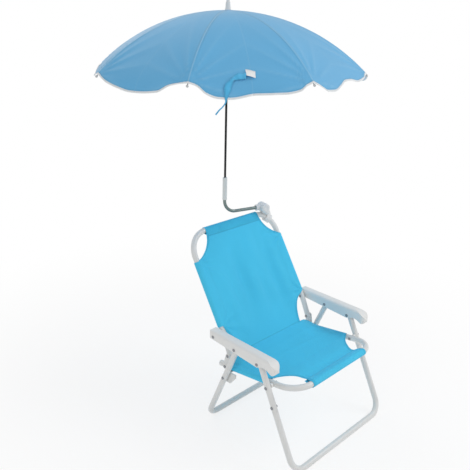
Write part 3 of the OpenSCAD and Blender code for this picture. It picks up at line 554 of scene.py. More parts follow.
def finishes(context):
    """The finish of every material slot, made once."""
    if "Sling cloth" in bpy.data.materials:
        return bpy.data.materials
    c = context.scene.chair_colours
    for make in (weave_group, tone_group, stitch_group, grain_group, wear_group):
        make()
    sling_finish(c.sling)
    canopy_finish(c.canopy)
    # Threads in a metre, roughness, sheen, tint of the sewing thread, scale of the tone, depth of the weave
    for name, tint, *looks in (
        ("Strap satin", c.strap, 2600.0, 0.38, 0.3, (0.1, 0.45, 0.75), 40.0, 0.1),
        ("Hem binding", c.binding, 1600.0, 0.7, 0.2, (0.8, 0.82, 0.84), 30.0, 0.2),
        ("Care label", c.label, 2200.0, 0.45, 0.15, (0.75, 0.76, 0.78), 60.0, 0.12),
    ):
        f, base, bumps = cloth_finish(name, tint, *looks)
        f.finish(base, bumps)
    # Roughness, tint where scuffed, wear, scale of the grain and its depth
    coat = {"Coat_Weight": 0.1, "Coat_Roughness": 0.2}
    painted("Powder coat", c.frame, 0.36, (0.6, 0.6, 0.58), 0.35, 520.0, 0.1, **coat)
    painted("Moulded plastic", c.plastic, 0.5, (0.7, 0.7, 0.68), 0.25, 900.0, 0.14, Specular_IOR_Level=0.4)
    painted("Clamp plastic", c.clamp, 0.4, (0.66, 0.66, 0.65), 0.15, 500.0, 0.1)
    painted("Pole sleeve plastic", c.sleeve, 0.45, (0.6, 0.6, 0.6), 0.2, 700.0, 0.1)
    painted("Dull steel", c.steel, 0.42, (0.35, 0.35, 0.35), 0.5, 400.0, 0.2, Metallic=0.75)
    painted("Galvanised rod", c.rod, 0.33, (0.42, 0.45, 0.44), 0.8, 260.0, 0.16, Metallic=0.55)
    painted("Black paint", c.pole, 0.45, (0.03, 0.03, 0.03), 0.4, 600.0, 0.06, Specular_IOR_Level=0.3)
    painted("Plated wire", c.ribs, 0.32, (0.35, 0.35, 0.35), 0.4, 500.0, 0.1, Metallic=0.85)
    return bpy.data.materials


class ChairFrameFinish(bpy.types.Operator):
    """Gives every hard piece of the chair and umbrella its paint, plastic or metal"""

    bl_idname = "beach_chair.frame_finish"
    bl_label = "Finish the hard pieces"

    def execute(self, context):
        mats = finishes(context)
        by_slot = {
            "white_frame": "Powder coat", "dark_steel": "Dull steel", "white_plastic": "Moulded plastic",
            "sleeve_plastic": "Pole sleeve plastic", "black_pole": "Black paint", "rib_steel": "Plated wire",
            "chair_cloth": "Sling cloth", "canopy_cloth": "Canopy cloth", "label_cloth": "Care label",
        }
        by_node = dict.fromkeys(("clamp_body", "clamp_jaw", "clamp_knob", "ferrule"), "Clamp plastic")
        by_node["umbrella_rod"] = "Galvanised rod"
        for row in frame["record"]["subparts"]:
            dress(frame["nodes"][row["node"]], mats[by_node.get(row["node"], by_slot[row["material_slot"]])])
        return {"FINISHED"}


def dress(obj, material):
    """Gives an object one material alone."""
    obj.data.materials.clear()
    obj.data.materials.append(material)


# Outline of the sling in millimetres: place along the tubes, and half width there
BACK_FAR = [
    (263.5, 99), (257, 100), (250.5, 102), (235.5, 107.5), (218.5, 119), (207.5, 130.5), (197.5, 145.5),
    (191.5, 157), (14, 157), (3.5, 137.5), (-15, 120), (-42, 108.5), (-58, 105), (-75, 104),
]
BACK_NEAR = [
    *BACK_FAR[:9], (8, 154.5), (0, 153), (-12, 149), (-26, 139), (-42, 124), (-52, 113.5), (-58, 106.5),
    (-75, 104),
]
SEAT_LINE = [
    (-72, 106.5), (-64, 105), (-55, 99), (-46, 96.5), (-36, 99.5), (-22, 108), (-8, 121.5), (2, 135),
    (9, 147), (17, 157), (200, 157),
]
# The crease where the back turns into the seat: place on the back's plane, half width, and reach of its bend
CREASE_RISE = -0.0615
CREASE_HALF = 0.1045
CREASE_BEND = 0.0045
CREASE = in_back(0, CREASE_RISE, ROLL)
CREASE_S, CREASE_H = from_seat(CREASE)
BACK_END = CREASE_RISE + CREASE_BEND
SEAT_START = CREASE_S - CREASE_BEND
# Beside the crease the cloth's edge runs out to the rail: half width and place of the edge, after some rows
RAIL_START = 0.139
SIDE_WIDE = [
    (0, CREASE_HALF), (1, 0.1065), (2, 0.1105), (3, 0.117), (4, 0.126), (5, 0.136), (6, 0.1455), (7, 0.1525),
    (8, RAIL_HALF),
]
SIDE_EDGE = [
    (0, SEAT_START), (2, SEAT_START + 0.0045), (4, SEAT_START + 0.009),
    (6, RAIL_START + 0.001), (8, RAIL_START),
]
# Half width over which a row of the seat stays straight
STRAIGHT = 0.07
# Columns of the sling, and rows on each part; the flap rows take up the slant that the side rows leave
SLING_COLS, BACK_ROWS, BEND_ROWS, SEAT_ROWS = 116, 128, 6, 78
SIDE_ROWS, FLAP_ROWS, TURN_ROWS, TUCK_ROWS = 8, 34, 12, 6
FIRST_SEAT = BACK_ROWS + BEND_ROWS + 1
ACROSS = np.linspace(-1, 1, SLING_COLS + 1)
# Soft folds of the back, over its half width and height, and creases of the seat: height, place, lean, width
BACK_FOLDS = [
    (0.9, -0.07, 0.34, 0.15), (-0.8, -0.24, 0.1, 0.13), (0.55, -0.58, -0.06, 0.12),
    (-0.6, 0.5, 0.12, 0.12), (0.5, 0.74, -0.1, 0.08),
]
SEAT_CREASES = [(1, 0.062, -0.06, 0.006), (-0.8, 0.012, 0.03, 0.008), (0.7, 0.098, 0, 0.005)]
# Ends of the back's side sleeves: side, place up the tube, and turn of the short pulls that spread from them
SLEEVE_ENDS = ((-1, 0.187, 2.0), (1, 0.187, 1.68), (-1, 0.014, -2.2), (1, 0.014, -1.8))
PULL_DEPTH, PULL_REACH, PULLS = 0.0022, 0.055, 9
# How far in from a tube's middle a sleeve ends under the cloth, and its sewn line; the same for the two hems
SLEEVE_IN, SLEEVE_SEAM = 0.024, 0.0245
TOP_HEM_IN, TOP_HEM_SEAM = 0.0185, 0.0175
FRONT_HEM_IN, FRONT_HEM_SEAM = 0.0205, 0.0195
SLEEVE_GAP = 0.0014
# Flat length of cloth that is tucked under, and how far in from a cut edge it is turned over and sewn
TUCK = 0.022
CUT_TURN, CUT_SEAM = 0.0085, 0.004


class SlingCloth:
    """The sling as one sheet: rows of points down the back, round the crease and along the seat."""

    def __init__(self, sizes):
        self.sizes = sizes
        self.rows, self.half, self.run = [], [], []
        self.points, self.uv, self.seam, self.double, self.faces = [], [], [], [], []
        for step in (self.lay_back, self.lay_crease, self.lay_seat, self.join_rows, self.sew_sleeves):
            step()

    def back_depth(self, x, v):
        """How far the back's cloth stands out from the plane of its tubes."""
        u, w = x / RAIL_HALF, v / BACK_RISE
        middle = 1 - u**2
        span = np.sin(np.pi * np.clip((BACK_RISE - v) / (BACK_RISE + 0.06), 0, 1))
        folds = ridges(BACK_FOLDS, u, w) + 0.16 * np.sin(19 * u + 5 * w)
        folds = folds * np.clip(middle * 1.4, 0, 1) * 1.05
        pull_and_painted_highlight = 0
        for side, end, turn in SLEEVE_ENDS:
            dx, dv = RAIL_HALF - side * x, v - end
            r = np.sqrt(dx**2 + dv**2) + 1e-6
            waves = np.sin(np.arctan2(dv, dx) * PULLS + turn)
            pull_and_painted_highlight = pull_and_painted_highlight + np.exp(-r / PULL_REACH) * waves * ease(r / 0.02)
        sag = (self.sizes.folds * folds - self.sizes.back_sag * middle) * span
        return ROLL + sag + PULL_DEPTH * pull_and_painted_highlight * np.clip(middle * 6, 0, 1)

    def seat_depth(self, x, s):
        """How far the seat's cloth stands above the plane of its rails."""
        u = np.clip(abs(x) / RAIL_HALF, 0, 1)
        f = np.clip((s + SEAT_REACH) / (CREASE_S + SEAT_REACH), 0, 1)
        middle = 1 - u ** (3.2 + 4.8 * f * f)
        lift = (CREASE_H - ROLL) * f**1.2 - self.sizes.seat_sag * np.sin(np.pi * f)
        front_dip = 0.0055 * hump(s, -0.044, 0.016) * np.clip(middle * 1.2, 0, 1)
        creases = ridges(SEAT_CREASES, s, x) * np.clip(middle * 1.5, 0, 1) - hump(s, -0.052, 0.004)
        return ROLL + lift * middle - front_dip + 0.0008 * creases

    def add_row(self, points, half, run):
        """Adds a row of points, its half width on each side, and its distance down the cloth."""
        self.rows.append(points)
        self.half.append(np.broadcast_to(half, ACROSS.shape))
        self.run.append(run)

    def lay_back(self):
        for v in np.linspace(BACK_RISE, BACK_END, BACK_ROWS + 1):
            near, far = (smooth(v * 1000, line) / 1000 for line in (BACK_NEAR, BACK_FAR))
            half = np.where(ACROSS > 0, far, near)
            x = ACROSS * half
            self.add_row(in_back(x, v, self.back_depth(x, v)), half, BACK_RISE - v)

    def lay_crease(self):
        """A soft bend between the last row of the back and the first of the seat."""
        x = ACROSS * CREASE_HALF
        top, low = self.rows[-1], in_seat(x, SEAT_START, self.seat_depth(x, SEAT_START))
        corner = (in_back(x, CREASE_RISE, ROLL) + in_seat(x, CREASE_S, self.seat_depth(x, CREASE_S))) / 2
        for i in range(1, BEND_ROWS + 1):
            t = i / (BEND_ROWS + 1)
            points = (1 - t) ** 2 * top + 2 * t * (1 - t) * corner + t * t * low
            self.add_row(points, CREASE_HALF, self.run[BACK_ROWS] + 2 * CREASE_BEND * t)

    def lay_seat(self):
        bend_end = self.run[-1] + 0.0015
        step = (SEAT_REACH + SEAT_START) / SEAT_ROWS
        slant = RAIL_START - SEAT_START + step * SIDE_ROWS
        for i in range(SEAT_ROWS + 1):
            line = SEAT_START - step * i
            half, edge = smooth(line * 1000, SEAT_LINE) / 1000, line
            if i <= SIDE_ROWS:
                half, edge = smooth(i, SIDE_WIDE), smooth(i, SIDE_EDGE)
            elif i < FLAP_ROWS:
                edge = line + slant * (1 - (i - SIDE_ROWS) / (FLAP_ROWS - SIDE_ROWS))
            x = ACROSS * half
            s = line + (edge - line) * ease((abs(x) - STRAIGHT) / (half - STRAIGHT + 1e-6))
            self.add_row(in_seat(x, s, self.seat_depth(x, s)), half, bend_end + SEAT_START - line)

    def seam_at(self, i):
        """Distance from each point of a row to the nearest sewn line of the main sheet."""
        x = abs(ACROSS) * self.half[i]
        along_cut = abs(self.half[i] - x - CUT_SEAM)
        along_sleeve = abs(x - RAIL_HALF + SLEEVE_SEAM) + 0.0011
        seams = [np.ones(len(ACROSS))]
        if BACK_ROWS <= i <= FIRST_SEAT:
            seams.append(abs(i - BACK_ROWS - 3.5) * 0.0013)
        if i <= BACK_ROWS:
            beside_tube = 0.008 < BACK_RISE - self.run[i] < 0.192
            seams += [abs(self.run[i] - TOP_HEM_SEAM), along_sleeve if beside_tube else along_cut]
        elif i >= FIRST_SEAT:
            from_front = self.run[-1] - self.run[i]
            seams.append(abs(from_front - FRONT_HEM_SEAM))
            if from_front - SEAT_REACH <= 0.017:
                seams.append(along_cut)
            elif i > FIRST_SEAT + SIDE_ROWS:
                seams.append(along_sleeve)
        return np.min(np.broadcast_arrays(*seams), axis=0)

    def double_at(self, i):
        """Where the cloth lies double: the hem over the top bar, and the turned edges of the cutouts."""
        half = self.half[i]
        cut = ease((CUT_TURN - half * (1 - abs(ACROSS))) / 0.0015) * (half < RAIL_HALF - 0.001)
        return np.maximum(ease((TOP_HEM_SEAM + 0.0015 - self.run[i]) / 0.003), 0.8 * cut)

    def join_rows(self):
        """Turns the rows into one sheet of points and faces."""
        self.points = [p for row in self.rows for p in row]
        self.faces = grid_quads(len(self.rows) - 1, SLING_COLS)
        for i, half in enumerate(self.half):
            self.uv.extend((x, -self.run[i]) for x in ACROSS * half)
            self.seam.extend(self.seam_at(i))
            self.double.extend(self.double_at(i))

    def sew_sleeve(self, edge, outward, lay, depth, reach, spot):
        """Goes on from an edge of the sheet round a tube, and reaches back under the cloth.

        spot gives the place, for in_back or in_seat, at a distance out from the tube's middle.
        """

        def round_tube(k, angle):
            return lay(*spot(k, ROLL * math.sin(angle)), ROLL * math.cos(angle))

        def tuck(k, t):
            low = float(depth(*spot(k, -reach))) - SLEEVE_GAP
            return lay(*spot(k, -reach * t), -ROLL + (low + ROLL) * ease(t))

        turns = [math.pi * j / TURN_ROWS for j in range(1, TURN_ROWS + 1)]
        steps = [(round_tube, angle, ROLL * angle, 1.0) for angle in turns]
        for t in [j / TUCK_ROWS for j in range(1, TUCK_ROWS + 1)]:
            steps.append((tuck, t, ROLL * math.pi + TUCK * t, abs(TUCK * (1 - t) - 0.0015)))
        rings = [list(edge)]
        for place, at, run, seam in steps:
            rings.append([len(self.points) + k for k in range(len(edge))])
            for k, start in enumerate(edge):
                u, v = self.uv[start]
                self.points.append(place(k, at))
                self.uv.append((u + outward[0] * run, v + outward[1] * run))
                self.seam.append(seam)
                self.double.append(self.double[start])
        for a, b in zip(rings, rings[1:]):
            quads = [(a[k], a[k + 1], b[k + 1], b[k]) for k in range(len(a) - 1)]
            self.faces += quads if sum(outward) < 0 else [q[::-1] for q in quads]

    def sew_sleeves(self):
        """Sleeves round the tubes of the back and of the seat, then hems round the top and front bars."""
        wide = SLING_COLS + 1
        last = len(self.rows) - 1
        back_rows = [i for i in range(FIRST_SEAT) if 0.0135 <= BACK_RISE - self.run[i] <= 0.1915]
        seat_rows = range(FIRST_SEAT + SIDE_ROWS, last + 1)
        seat_rows = [i for i in seat_rows if self.half[i][0] > RAIL_HALF - 0.0002]
        back_v = [BACK_RISE - self.run[i] for i in back_rows]
        for side, col in ((-1, 0), (1, SLING_COLS)):
            seat_s = [from_seat(self.rows[i][col])[0] for i in seat_rows]
            for rows, lay, depth, along in (
                (back_rows, in_back, self.back_depth, back_v),
                (seat_rows, in_seat, self.seat_depth, seat_s),
            ):
                self.sew_sleeve(
                    [i * wide + col for i in rows], (side, 0), lay, depth, SLEEVE_IN,
                    lambda k, out: (side * (RAIL_HALF + out), along[k]))
        self.sew_sleeve(
            range(wide), (0, 1), in_back, self.back_depth, TOP_HEM_IN,
            lambda k, out: (ACROSS[k] * self.half[0][k], BACK_RISE + out))
        self.sew_sleeve(
            range(last * wide, (last + 1) * wide), (0, -1), in_seat, self.seat_depth, FRONT_HEM_IN,
            lambda k, out: (ACROSS[k] * self.half[-1][k], -SEAT_REACH - out))


class ChairSling(bpy.types.Operator):
    """Makes the one piece of cloth that forms back and seat, with its sleeves and hems"""

    bl_idname = "beach_chair.sling"
    bl_label = "Sling cloth"

    def execute(self, context):
        sizes = context.scene.chair_sizes
        cloth = SlingCloth(sizes)
        values = {"seam": cloth.seam, "double": cloth.double}
        material = finishes(context)["Sling cloth"]
        sling = make_object("sling_cloth", cloth.points, cloth.faces, material, cloth.uv, values)
        area = thicken(sling, sizes.cloth)
        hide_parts("sling_back", "sling_seat")
        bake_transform(sling)
        return {"FINISHED"}


def canopy_pleats(turn, angle, rib):
    """Small pleats that spread from a rib's tip: their height, and a painted highlight along their ridges."""
    along = (on_canopy(turn, angle) - on_canopy(rib, HEM_ANGLE))[..., :2]
    c, s = math.cos(math.radians(rib)), math.sin(math.radians(rib))
    out, side = along[..., 0] * c + along[..., 1] * s, along[..., 1] * c - along[..., 0] * s
    r = np.sqrt(out**2 + side**2) + 1e-6
    fan = np.arctan2(abs(side), -out + 1e-6)
    pleats = 1.2 - 2 * abs(np.sin(fan * 8.5 + 0.5 + 4.0 * r))
    near = ease(r / 0.03) * ease(abs(side) / 0.008)
    crests = np.clip((pleats - 0.2) / 0.9, 0, 1) ** 2
    return np.exp(-r / 0.065) * pleats * near, np.exp(-r / 0.085) * crests * near


GORE_ROWS, GORE_COLS = 72, 56
# The seam over a rib: its rise and its width in degrees, and the sewn line beside the rib
RIB_SEAM_RISE, RIB_SEAM_WIDE, RIB_STITCH = 0.0004, 0.25, 0.0028


def canopy_gore(rib, sizes):
    """One gore, centred on its rib: points with the hem last, flat places, and the values its cloth reads."""
    turn = rib + np.linspace(-RIB_STEP / 2, RIB_STEP / 2, GORE_COLS + 1)
    low = hem_angle(turn)
    points, uv = [], []
    values = {"from_rib": [], "from_middle": [], "seam": [], "pull_and_painted_highlight": []}
    for f in np.linspace(0, 1, GORE_ROWS + 1):
        angle = HOLE_ANGLE + (low - HOLE_ANGLE) * f
        # The pleats' height, and the painted highlight on their ridges
        height, pleat_highlight = canopy_pleats(turn, angle, rib)
        lift = sizes.canopy / 2 + sizes.pleats * height + RIB_SEAM_RISE * hump(turn, rib, RIB_SEAM_WIDE)
        row = on_canopy(turn, angle)
        points.extend(row + unit(row - CANOPY_MIDDLE) * lift[:, None])
        r = CLOTH_BALL * np.sin(np.radians(angle))
        across = np.radians(turn - rib) * r
        from_tape = abs(CLOTH_BALL * np.radians(low - angle) - sizes.binding - 0.001)
        uv.extend(zip(across, CLOTH_BALL * np.radians(angle)))
        values["from_rib"].extend(abs(across))
        values["from_middle"].extend(math.radians(RIB_STEP / 2) * r - abs(across))
        values["seam"].extend(np.minimum(from_tape, abs(abs(across) - RIB_STITCH)))
        values["pull_and_painted_highlight"].extend(pleat_highlight)
    return points, uv, values


def hem_tape(gore, binding):
    """Tape folded over a gore's hem: points, faces, flat places and distances to its sewn line."""
    wide = GORE_COLS + 1
    hem, above = np.array(gore[-wide:]), np.array(gore[-2 * wide:-wide])
    down, side = unit(hem - above), unit(np.gradient(hem, axis=0))
    out = unit(np.cross(side, down))
    out *= np.sign(np.sum(out * (hem - CANOPY_MIDDLE), axis=1))[:, None]
    # Section of the folded tape: below the hem, and out from the cloth
    section = [
        (-binding, 0.00055), (-binding * 0.5, 0.00095), (0.0002, 0.0008), (0.0007, 0.0),
        (0.0002, -0.0008), (-binding * 0.5, -0.00095), (-binding, -0.00055), (-binding, 0.0),
    ]
    ring = len(section)
    run = [0.0, *np.cumsum(np.linalg.norm(np.diff(hem, axis=0), axis=1))]
    points = [hem[j] + down[j] * d + out[j] * o for j in range(wide) for d, o in section]
    uv = [(run[j], d + 0.001 * k) for j in range(wide) for k, (d, _) in enumerate(section)]
    seam = [abs(d + binding * 0.62) if o > 0 else 1.0 for _ in range(wide) for d, o in section]
    faces = []
    for start in range(0, GORE_COLS * ring, ring):
        for k in range(ring):
            a, b = start + k, start + (k + 1) % ring
            faces.append((a, b, b + ring, a + ring))
    faces += [tuple(range(ring))[::-1], tuple(range(GORE_COLS * ring, wide * ring))]
    return points, faces, uv, seam


def fold_with_rib(piece, number):
    """The piece rides on a rib, with a mesh of its own."""
    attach(piece, f"rib_{number}")
    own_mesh(piece)


def canopy_cap(material, sizes):
    """A small round cap of cloth under the ferrule."""
    rings, steps, hole, rim, thickness = 8, 48, 0.0034, 0.0135, 0.0004
    points, faces, uv = [], [], []
    for i in range(rings + 1):
        f = i / rings
        r = hole + (rim - hole) * f
        z = CURVE_Z + CLOTH_BALL + sizes.canopy + thickness - 0.0008 * f**2
        for j in range(steps):
            a = 2 * math.pi * j / steps
            wave = 1 + 0.05 * f * math.cos(RIBS * (a - math.radians(RIB_PHASE)))
            points.append((r * wave * math.cos(a), POLE_Y + r * wave * math.sin(a), z))
            uv.append((r * math.cos(a), r * math.sin(a)))
            if i < rings:
                start, end = i * steps + j, i * steps + (j + 1) % steps
                faces.append((start, start + steps, end + steps, end))
    count = len(points)
    seam = [abs(math.hypot(*q) - rim + 0.0015) for q in uv]
    values = {"from_rib": [1.0] * count, "from_middle": [1.0] * count, "pull_and_painted_highlight": [0.0] * count, "seam": seam}
    cap = make_object("canopy_cap", points, faces, material, uv, values)
    thicken(cap, thickness, 1.0)
    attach(cap, "pole")


class ChairCanopy(bpy.types.Operator):
    """Makes the canopy's cloth, sewn over each rib, with white tape over its scalloped hem"""

    bl_idname = "beach_chair.canopy"
    bl_label = "Umbrella canopy"

    def execute(self, context):
        sizes = context.scene.chair_sizes
        mats = finishes(context)
        for number in range(1, RIBS + 1):
            gore, uv, values = canopy_gore(RIB_PHASE + (number - 1) * RIB_STEP, sizes)
            panel, area = cloth_sheet(
                f"canopy_panel_{number}", gore, GORE_COLS, mats["Canopy cloth"], uv, values, sizes.canopy)
            points, faces, uv, seam = hem_tape(gore, sizes.binding)
            tape = make_object(
                f"canopy_binding_{number}", points, faces, mats["Hem binding"], uv, {"seam": seam})
            fix_normals(tape)
            for piece in (panel, tape):
                fold_with_rib(piece, number)
            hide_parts("canopy")
        canopy_cap(mats["Canopy cloth"], sizes)
        return {"FINISHED"}


def fix_normals(obj):
    """Merges doubles and turns every face outwards."""
    mesh = bmesh.new()
    mesh.from_mesh(obj.data)
    bmesh.ops.remove_doubles(mesh, verts=mesh.verts, dist=1e-7)
    bmesh.ops.recalc_face_normals(mesh, faces=mesh.faces)
    mesh.to_mesh(obj.data)
    mesh.free()


# Both edges of the strap from its sewn end down: turn round the pole and angle from the top, upper then lower
STRAP_EDGES = [
    (233.1, 41.0, 232.8, 43.0), (231.9, 41.1, 231.9, 43.0), (230.5, 41.2, 230.6, 43.1),
    (229.2, 41.5, 229.6, 43.2), (228.1, 42.1, 228.6, 43.3), (226.7, 43.2, 228.0, 43.9),
    (225.2, 44.4, 227.5, 44.9), (224.9, 45.9, 227.2, 46.1), (225.0, 47.1, 226.5, 47.2),
    (225.2, 48.1, 226.0, 48.1), (225.3, 48.7, 225.7, 48.8), (224.3, 49.9, 224.6, 50.0),
    (223.2, 50.7, 223.5, 50.9), (222.2, 51.6, 222.5, 51.9),
]


def tie_strap(material, sizes):
    """The strap in its soft waves, with its area."""
    steps, cols, hem_in = 96, 8, 0.0012
    place = np.linspace(0, len(STRAP_EDGES) - 1, steps + 1)
    edges = np.stack([smooth(place, enumerate(column)) for column in zip(*STRAP_EDGES)], -1)
    points, uv, seam = [], [], []
    run = 0.0
    for i in range(steps + 1):
        wave = 0.0006 * (1 + math.sin(i * 0.37 + 1.2))
        for t in np.linspace(0, 1, cols + 1):
            turn, angle = edges[i, :2] * (1 - t) + edges[i, 2:] * t
            curl = 0.0009 + 0.0007 * math.sin(math.pi * t) + 0.0008 * math.sin(i * 0.21) * (t - 0.5) + wave
            points.append(on_canopy(turn, angle, sizes.canopy + 0.0004 + curl))
        if i:
            run += float(np.linalg.norm(points[-1] - points[-cols - 2]))
        wide = float(np.linalg.norm(points[-1] - points[-cols - 1]))
        for t in np.linspace(0, 1, cols + 1):
            uv.append((wide * (t - 0.5), run))
            seam.append(abs(wide * (0.5 - abs(t - 0.5)) - hem_in))
    return cloth_sheet("umbrella_tie_strap", points, cols, material, uv, {"seam": seam}, sizes.strap)


def care_label(material, sizes):
    """The blank label, with its area."""
    steps, wide, high = 12, 0.021, 0.0195
    points, uv, seam = [], [], []
    for a in np.linspace(0, 1, steps + 1):
        for b in np.linspace(0, 1, steps + 1):
            lift = sizes.canopy + 0.0022 + 0.0064 * max(0.0, a - 0.4) ** 2 + 0.0006 * math.sin(b * 5)
            turn = (232.9 + 0.2 * a) * (1 - b) + (236.8 - 0.4 * a) * b
            points.append(on_canopy(turn, 39.96 + 0.6 * b + (2.2 + 0.07 * b) * a, lift))
            uv.append((b * wide, a * high))
            seam.append(abs(a * high - 0.0015))
    return cloth_sheet("care_label_blank", points, steps, material, uv, {"seam": seam}, sizes.strap * 0.8)


class ChairStrap(bpy.types.Operator):
    """Makes the tie strap that hangs over the canopy's hem, and the blank label sewn over its end"""

    bl_idname = "beach_chair.strap"
    bl_label = "Tie strap and label"

    def execute(self, context):
        sizes = context.scene.chair_sizes
        mats = finishes(context)
        strap, strap_area = tie_strap(mats["Strap satin"], sizes)
        label, label_area = care_label(mats["Care label"], sizes)
        for piece in (strap, label):
            fold_with_rib(piece, 6)
        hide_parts("tie_strap")
        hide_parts("care_label")
        return {"FINISHED"}


def rod_frame(x, y, z):
    """A place in the rod's own frame: out along the rod, square to it towards the rear, and up."""
    c, s = math.cos(ROD_TURN), math.sin(ROD_TURN)
    return Vector((x * c - y * s, POLE_Y + x * s + y * c, ROD_Z + z))


def turned_piece(name, radius, depth, sides, place, rotation, shape, edge_width, material):
    """A cylinder whose faces are reshaped by a function before its edges are rounded."""
    bpy.ops.object.select_all(action="DESELECT")
    bpy.ops.mesh.primitive_cylinder_add(
        vertices=sides, radius=radius, depth=depth, location=place, rotation=rotation)
    piece = bpy.context.active_object
    piece.name = name
    bpy.ops.object.transform_apply(location=True, rotation=True, scale=True)
    mesh = bmesh.new()
    mesh.from_mesh(piece.data)
    shape(mesh)
    mesh.to_mesh(piece.data)
    mesh.free()
    edge = piece.modifiers.new("Edge", "BEVEL")
    edge.width = edge_width
    edge.segments = 3
    edge.limit_method = "ANGLE"
    settle(piece, edge, 40)
    dress(piece, material)
    return piece


def open_ring(mesh):
    """Bores a cylinder through from cap to cap."""
    caps = [f for f in mesh.faces if len(f.verts) > 10]
    bmesh.ops.inset_individual(mesh, faces=caps, thickness=0.0028, depth=0.0)
    bmesh.ops.bridge_loops(mesh, edges=[e for f in caps for e in f.edges])
    bmesh.ops.delete(mesh, geom=caps, context="FACES_ONLY")
    bmesh.ops.recalc_face_normals(mesh, faces=mesh.faces)


class ChairClampDetail(bpy.types.Operator):
    """Adds the knob's raised disc and the clamp's ribbed neck"""

    bl_idname = "beach_chair.clamp_detail"
    bl_label = "Clamp details"

    def execute(self, context):
        plastic = finishes(context)["Clamp plastic"]
        hub = math.hypot(KNOB_PLACE[0], KNOB_PLACE[1] - POLE_Y)

        def dish(mesh):
            """Sinks the middle of the disc's outer face."""
            caps = [f for f in mesh.faces if len(f.verts) > 10]
            face = max(caps, key=lambda f: (f.calc_center_median() - rod_frame(hub, 0, 0)).length)
            bmesh.ops.inset_region(mesh, faces=[face], thickness=0.0022, depth=0.0)
            bmesh.ops.translate(mesh, verts=face.verts, vec=-(face.normal * 0.0009))

        disc = turned_piece(
            "clamp_knob_disc", 0.0076, 0.0022, 48, rod_frame(hub, -0.0203, 0), (math.pi / 2, 0, ROD_TURN),
            dish, 0.0006, plastic)
        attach(disc, "knob")
        # Low rings moulded round the neck that holds the rod: distance from the hub, and width
        for n, (along, wide) in enumerate(((0.0222, 0.0022), (0.0184, 0.0018), (0.0149, 0.0018))):
            ring = turned_piece(
                f"clamp_neck_ring_{n + 1}", 0.0087, wide, 40, rod_frame(hub - along, 0, 0),
                (0, math.pi / 2, ROD_TURN), open_ring, 0.0005, plastic)
            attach(ring, "back")
        return {"FINISHED"}


WHITE = (1, 1, 1, 1)


def show(nodes, plain, seen, rays, socket, share=1.0):
    """Sends one shader to the output, and for some kinds of ray a share of another."""
    path = nodes.add("ShaderNodeLightPath").outputs
    by_ray = path[rays[0]]
    for ray in rays[1:]:
        by_ray = nodes.maths("MAXIMUM", by_ray, path[ray])
    blend = nodes.add("ShaderNodeMixShader")
    for end, source in zip(blend.inputs, (nodes.times(share, by_ray), plain.outputs[0], seen.outputs[0])):
        nodes.feed(end, source)
    nodes.feed(socket, blend.outputs[0])


def studio_floor(tint):
    """A wide pale disc that glows away to white for the camera."""
    bpy.ops.object.select_all(action="DESELECT")
    bpy.ops.mesh.primitive_circle_add(vertices=96, radius=14, fill_type="NGON", location=(0, 0, 0))
    floor = bpy.context.active_object
    floor.name = "studio_floor"
    f = Finish("Studio floor", 0.9, Specular_IOR_Level=0.1)
    speck = f.times(f.noise(f.xyz, 60.0, 4.0), 0.03)
    f.feed(f.shader.inputs["Base Color"], f.mixed(speck, tuple(tint), (0.85, 0.85, 0.85, 1)))
    glow = f.add("ShaderNodeEmission", Color=WHITE)
    distance = f.tree.nodes.new("ShaderNodeVectorMath")
    distance.operation = "LENGTH"
    f.feed(distance.inputs[0], f.xyz)
    far = f.ramp(distance.outputs["Value"], 0.35, 1.3, 0.76, 1.0)
    out = next(n for n in f.tree.nodes if n.type == "OUTPUT_MATERIAL")
    rays = ("Is Camera Ray", "Is Glossy Ray", "Is Transmission Ray")
    show(f, f.shader, glow, rays, out.inputs["Surface"], far)
    dress(floor, f.material)


def studio_world(scene, strength):
    """Even light from all round, and plain white for the camera."""
    world = scene.world or bpy.data.worlds.new("Studio")
    scene.world = world
    world.use_nodes = True
    world.node_tree.nodes.clear()
    nodes = Nodes(world.node_tree)
    out = nodes.add("ShaderNodeOutputWorld")
    soft = nodes.add("ShaderNodeBackground", Color=WHITE, Strength=strength)
    white = nodes.add("ShaderNodeBackground", Color=WHITE, Strength=1.0)
    show(nodes, soft, white, ("Is Camera Ray", "Is Transmission Ray"), out.inputs["Surface"])


def studio_lamps(scene, power):
    target = Vector((0, -0.05, 0.45))
    for name, place, size, share in (
        ("Key lamp", (1.5, -1.5, 2.3), 1.4, 1.0),
        ("Fill lamp", (-2.1, -0.7, 1.5), 1.8, 0.3),
        ("Rear lamp", (0.4, 2.2, 2.0), 1.6, 0.35),
    ):
        lamp = bpy.data.lights.new(name, "AREA")
        lamp.size = size
        lamp.energy = power * share
        obj = bpy.data.objects.new(name, lamp)
        obj.location = place
        obj.rotation_euler = (Vector(place) - target).to_track_quat("Z", "Y").to_euler()
        scene.collection.objects.link(obj)


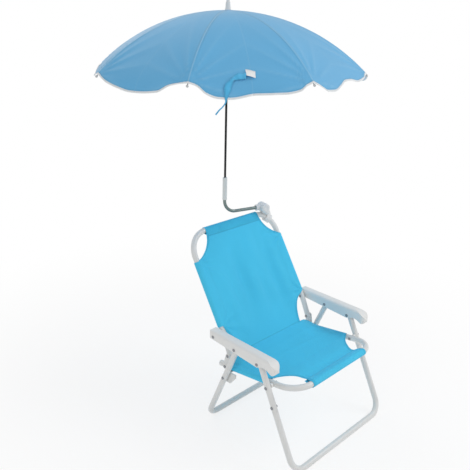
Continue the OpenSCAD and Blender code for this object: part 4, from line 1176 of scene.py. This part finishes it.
def photo_camera(scene, focal_length):
    """The camera that was fitted to the photo."""
    turn, rise, roll = math.radians(-43.55), math.radians(19.16), math.radians(0.75)
    place = Matrix.Translation((-1.1026, -1.0807, 1.0423))
    for angle, axis in ((turn, "Z"), (math.pi / 2 - rise, "X"), (roll, "Z")):
        place = place @ Matrix.Rotation(angle, 4, axis)
    lens = bpy.data.cameras.new("Camera")
    lens.lens = focal_length
    lens.sensor_width = 36
    lens.shift_x = 0.0383
    lens.shift_y = -0.0371
    lens.clip_start = 0.05
    lens.clip_end = 60
    camera = bpy.data.objects.new("Camera", lens)
    scene.collection.objects.link(camera)
    camera.matrix_world = place
    scene.camera = camera


class ChairStageSet(bpy.types.Operator):
    """Sets the pale floor, the soft studio lamps and the camera"""

    bl_idname = "beach_chair.stage"
    bl_label = "Floor, lamps and camera"

    def execute(self, context):
        scene = context.scene
        stage = scene.chair_stage
        studio_floor(stage.floor)
        studio_world(scene, stage.world)
        studio_lamps(scene, stage.key)
        photo_camera(scene, stage.lens)
        scene.view_settings.view_transform = "Standard"
        return {"FINISHED"}


STEPS = (ChairFrameFinish, ChairSling, ChairCanopy, ChairStrap, ChairClampDetail, ChairStageSet)


class ChairPanel(bpy.types.Panel):
    """Lists the steps that dress the chair"""

    bl_idname = "VIEW3D_PT_beach_chair"
    bl_label = "Beach chair"
    bl_space_type = "VIEW_3D"
    bl_region_type = "UI"
    bl_category = "Beach chair"

    def draw(self, context):
        for step in STEPS:
            self.layout.operator(step.bl_idname)
        for group_name in ("chair_sizes", "chair_colours", "chair_stage"):
            holder = getattr(context.scene, group_name)
            for key in type(holder).__annotations__:
                self.layout.prop(holder, key)


CLASSES = (ChairSizes, ChairColours, ChairStage, *STEPS, ChairPanel)


def register():
    for kind in CLASSES:
        bpy.utils.register_class(kind)
    bpy.types.Scene.chair_sizes = bpy.props.PointerProperty(type=ChairSizes)
    bpy.types.Scene.chair_colours = bpy.props.PointerProperty(type=ChairColours)
    bpy.types.Scene.chair_stage = bpy.props.PointerProperty(type=ChairStage)


def unregister():
    for key in ("chair_sizes", "chair_colours", "chair_stage"):
        delattr(bpy.types.Scene, key)
    for kind in reversed(CLASSES):
        bpy.utils.unregister_class(kind)


def main():
    register()
    bpy.ops.beach_chair.frame_finish()
    bpy.ops.beach_chair.sling()
    bpy.ops.beach_chair.canopy()
    bpy.ops.beach_chair.strap()
    bpy.ops.beach_chair.clamp_detail()
    bpy.ops.beach_chair.stage()


if __name__ == "__main__":
    main()
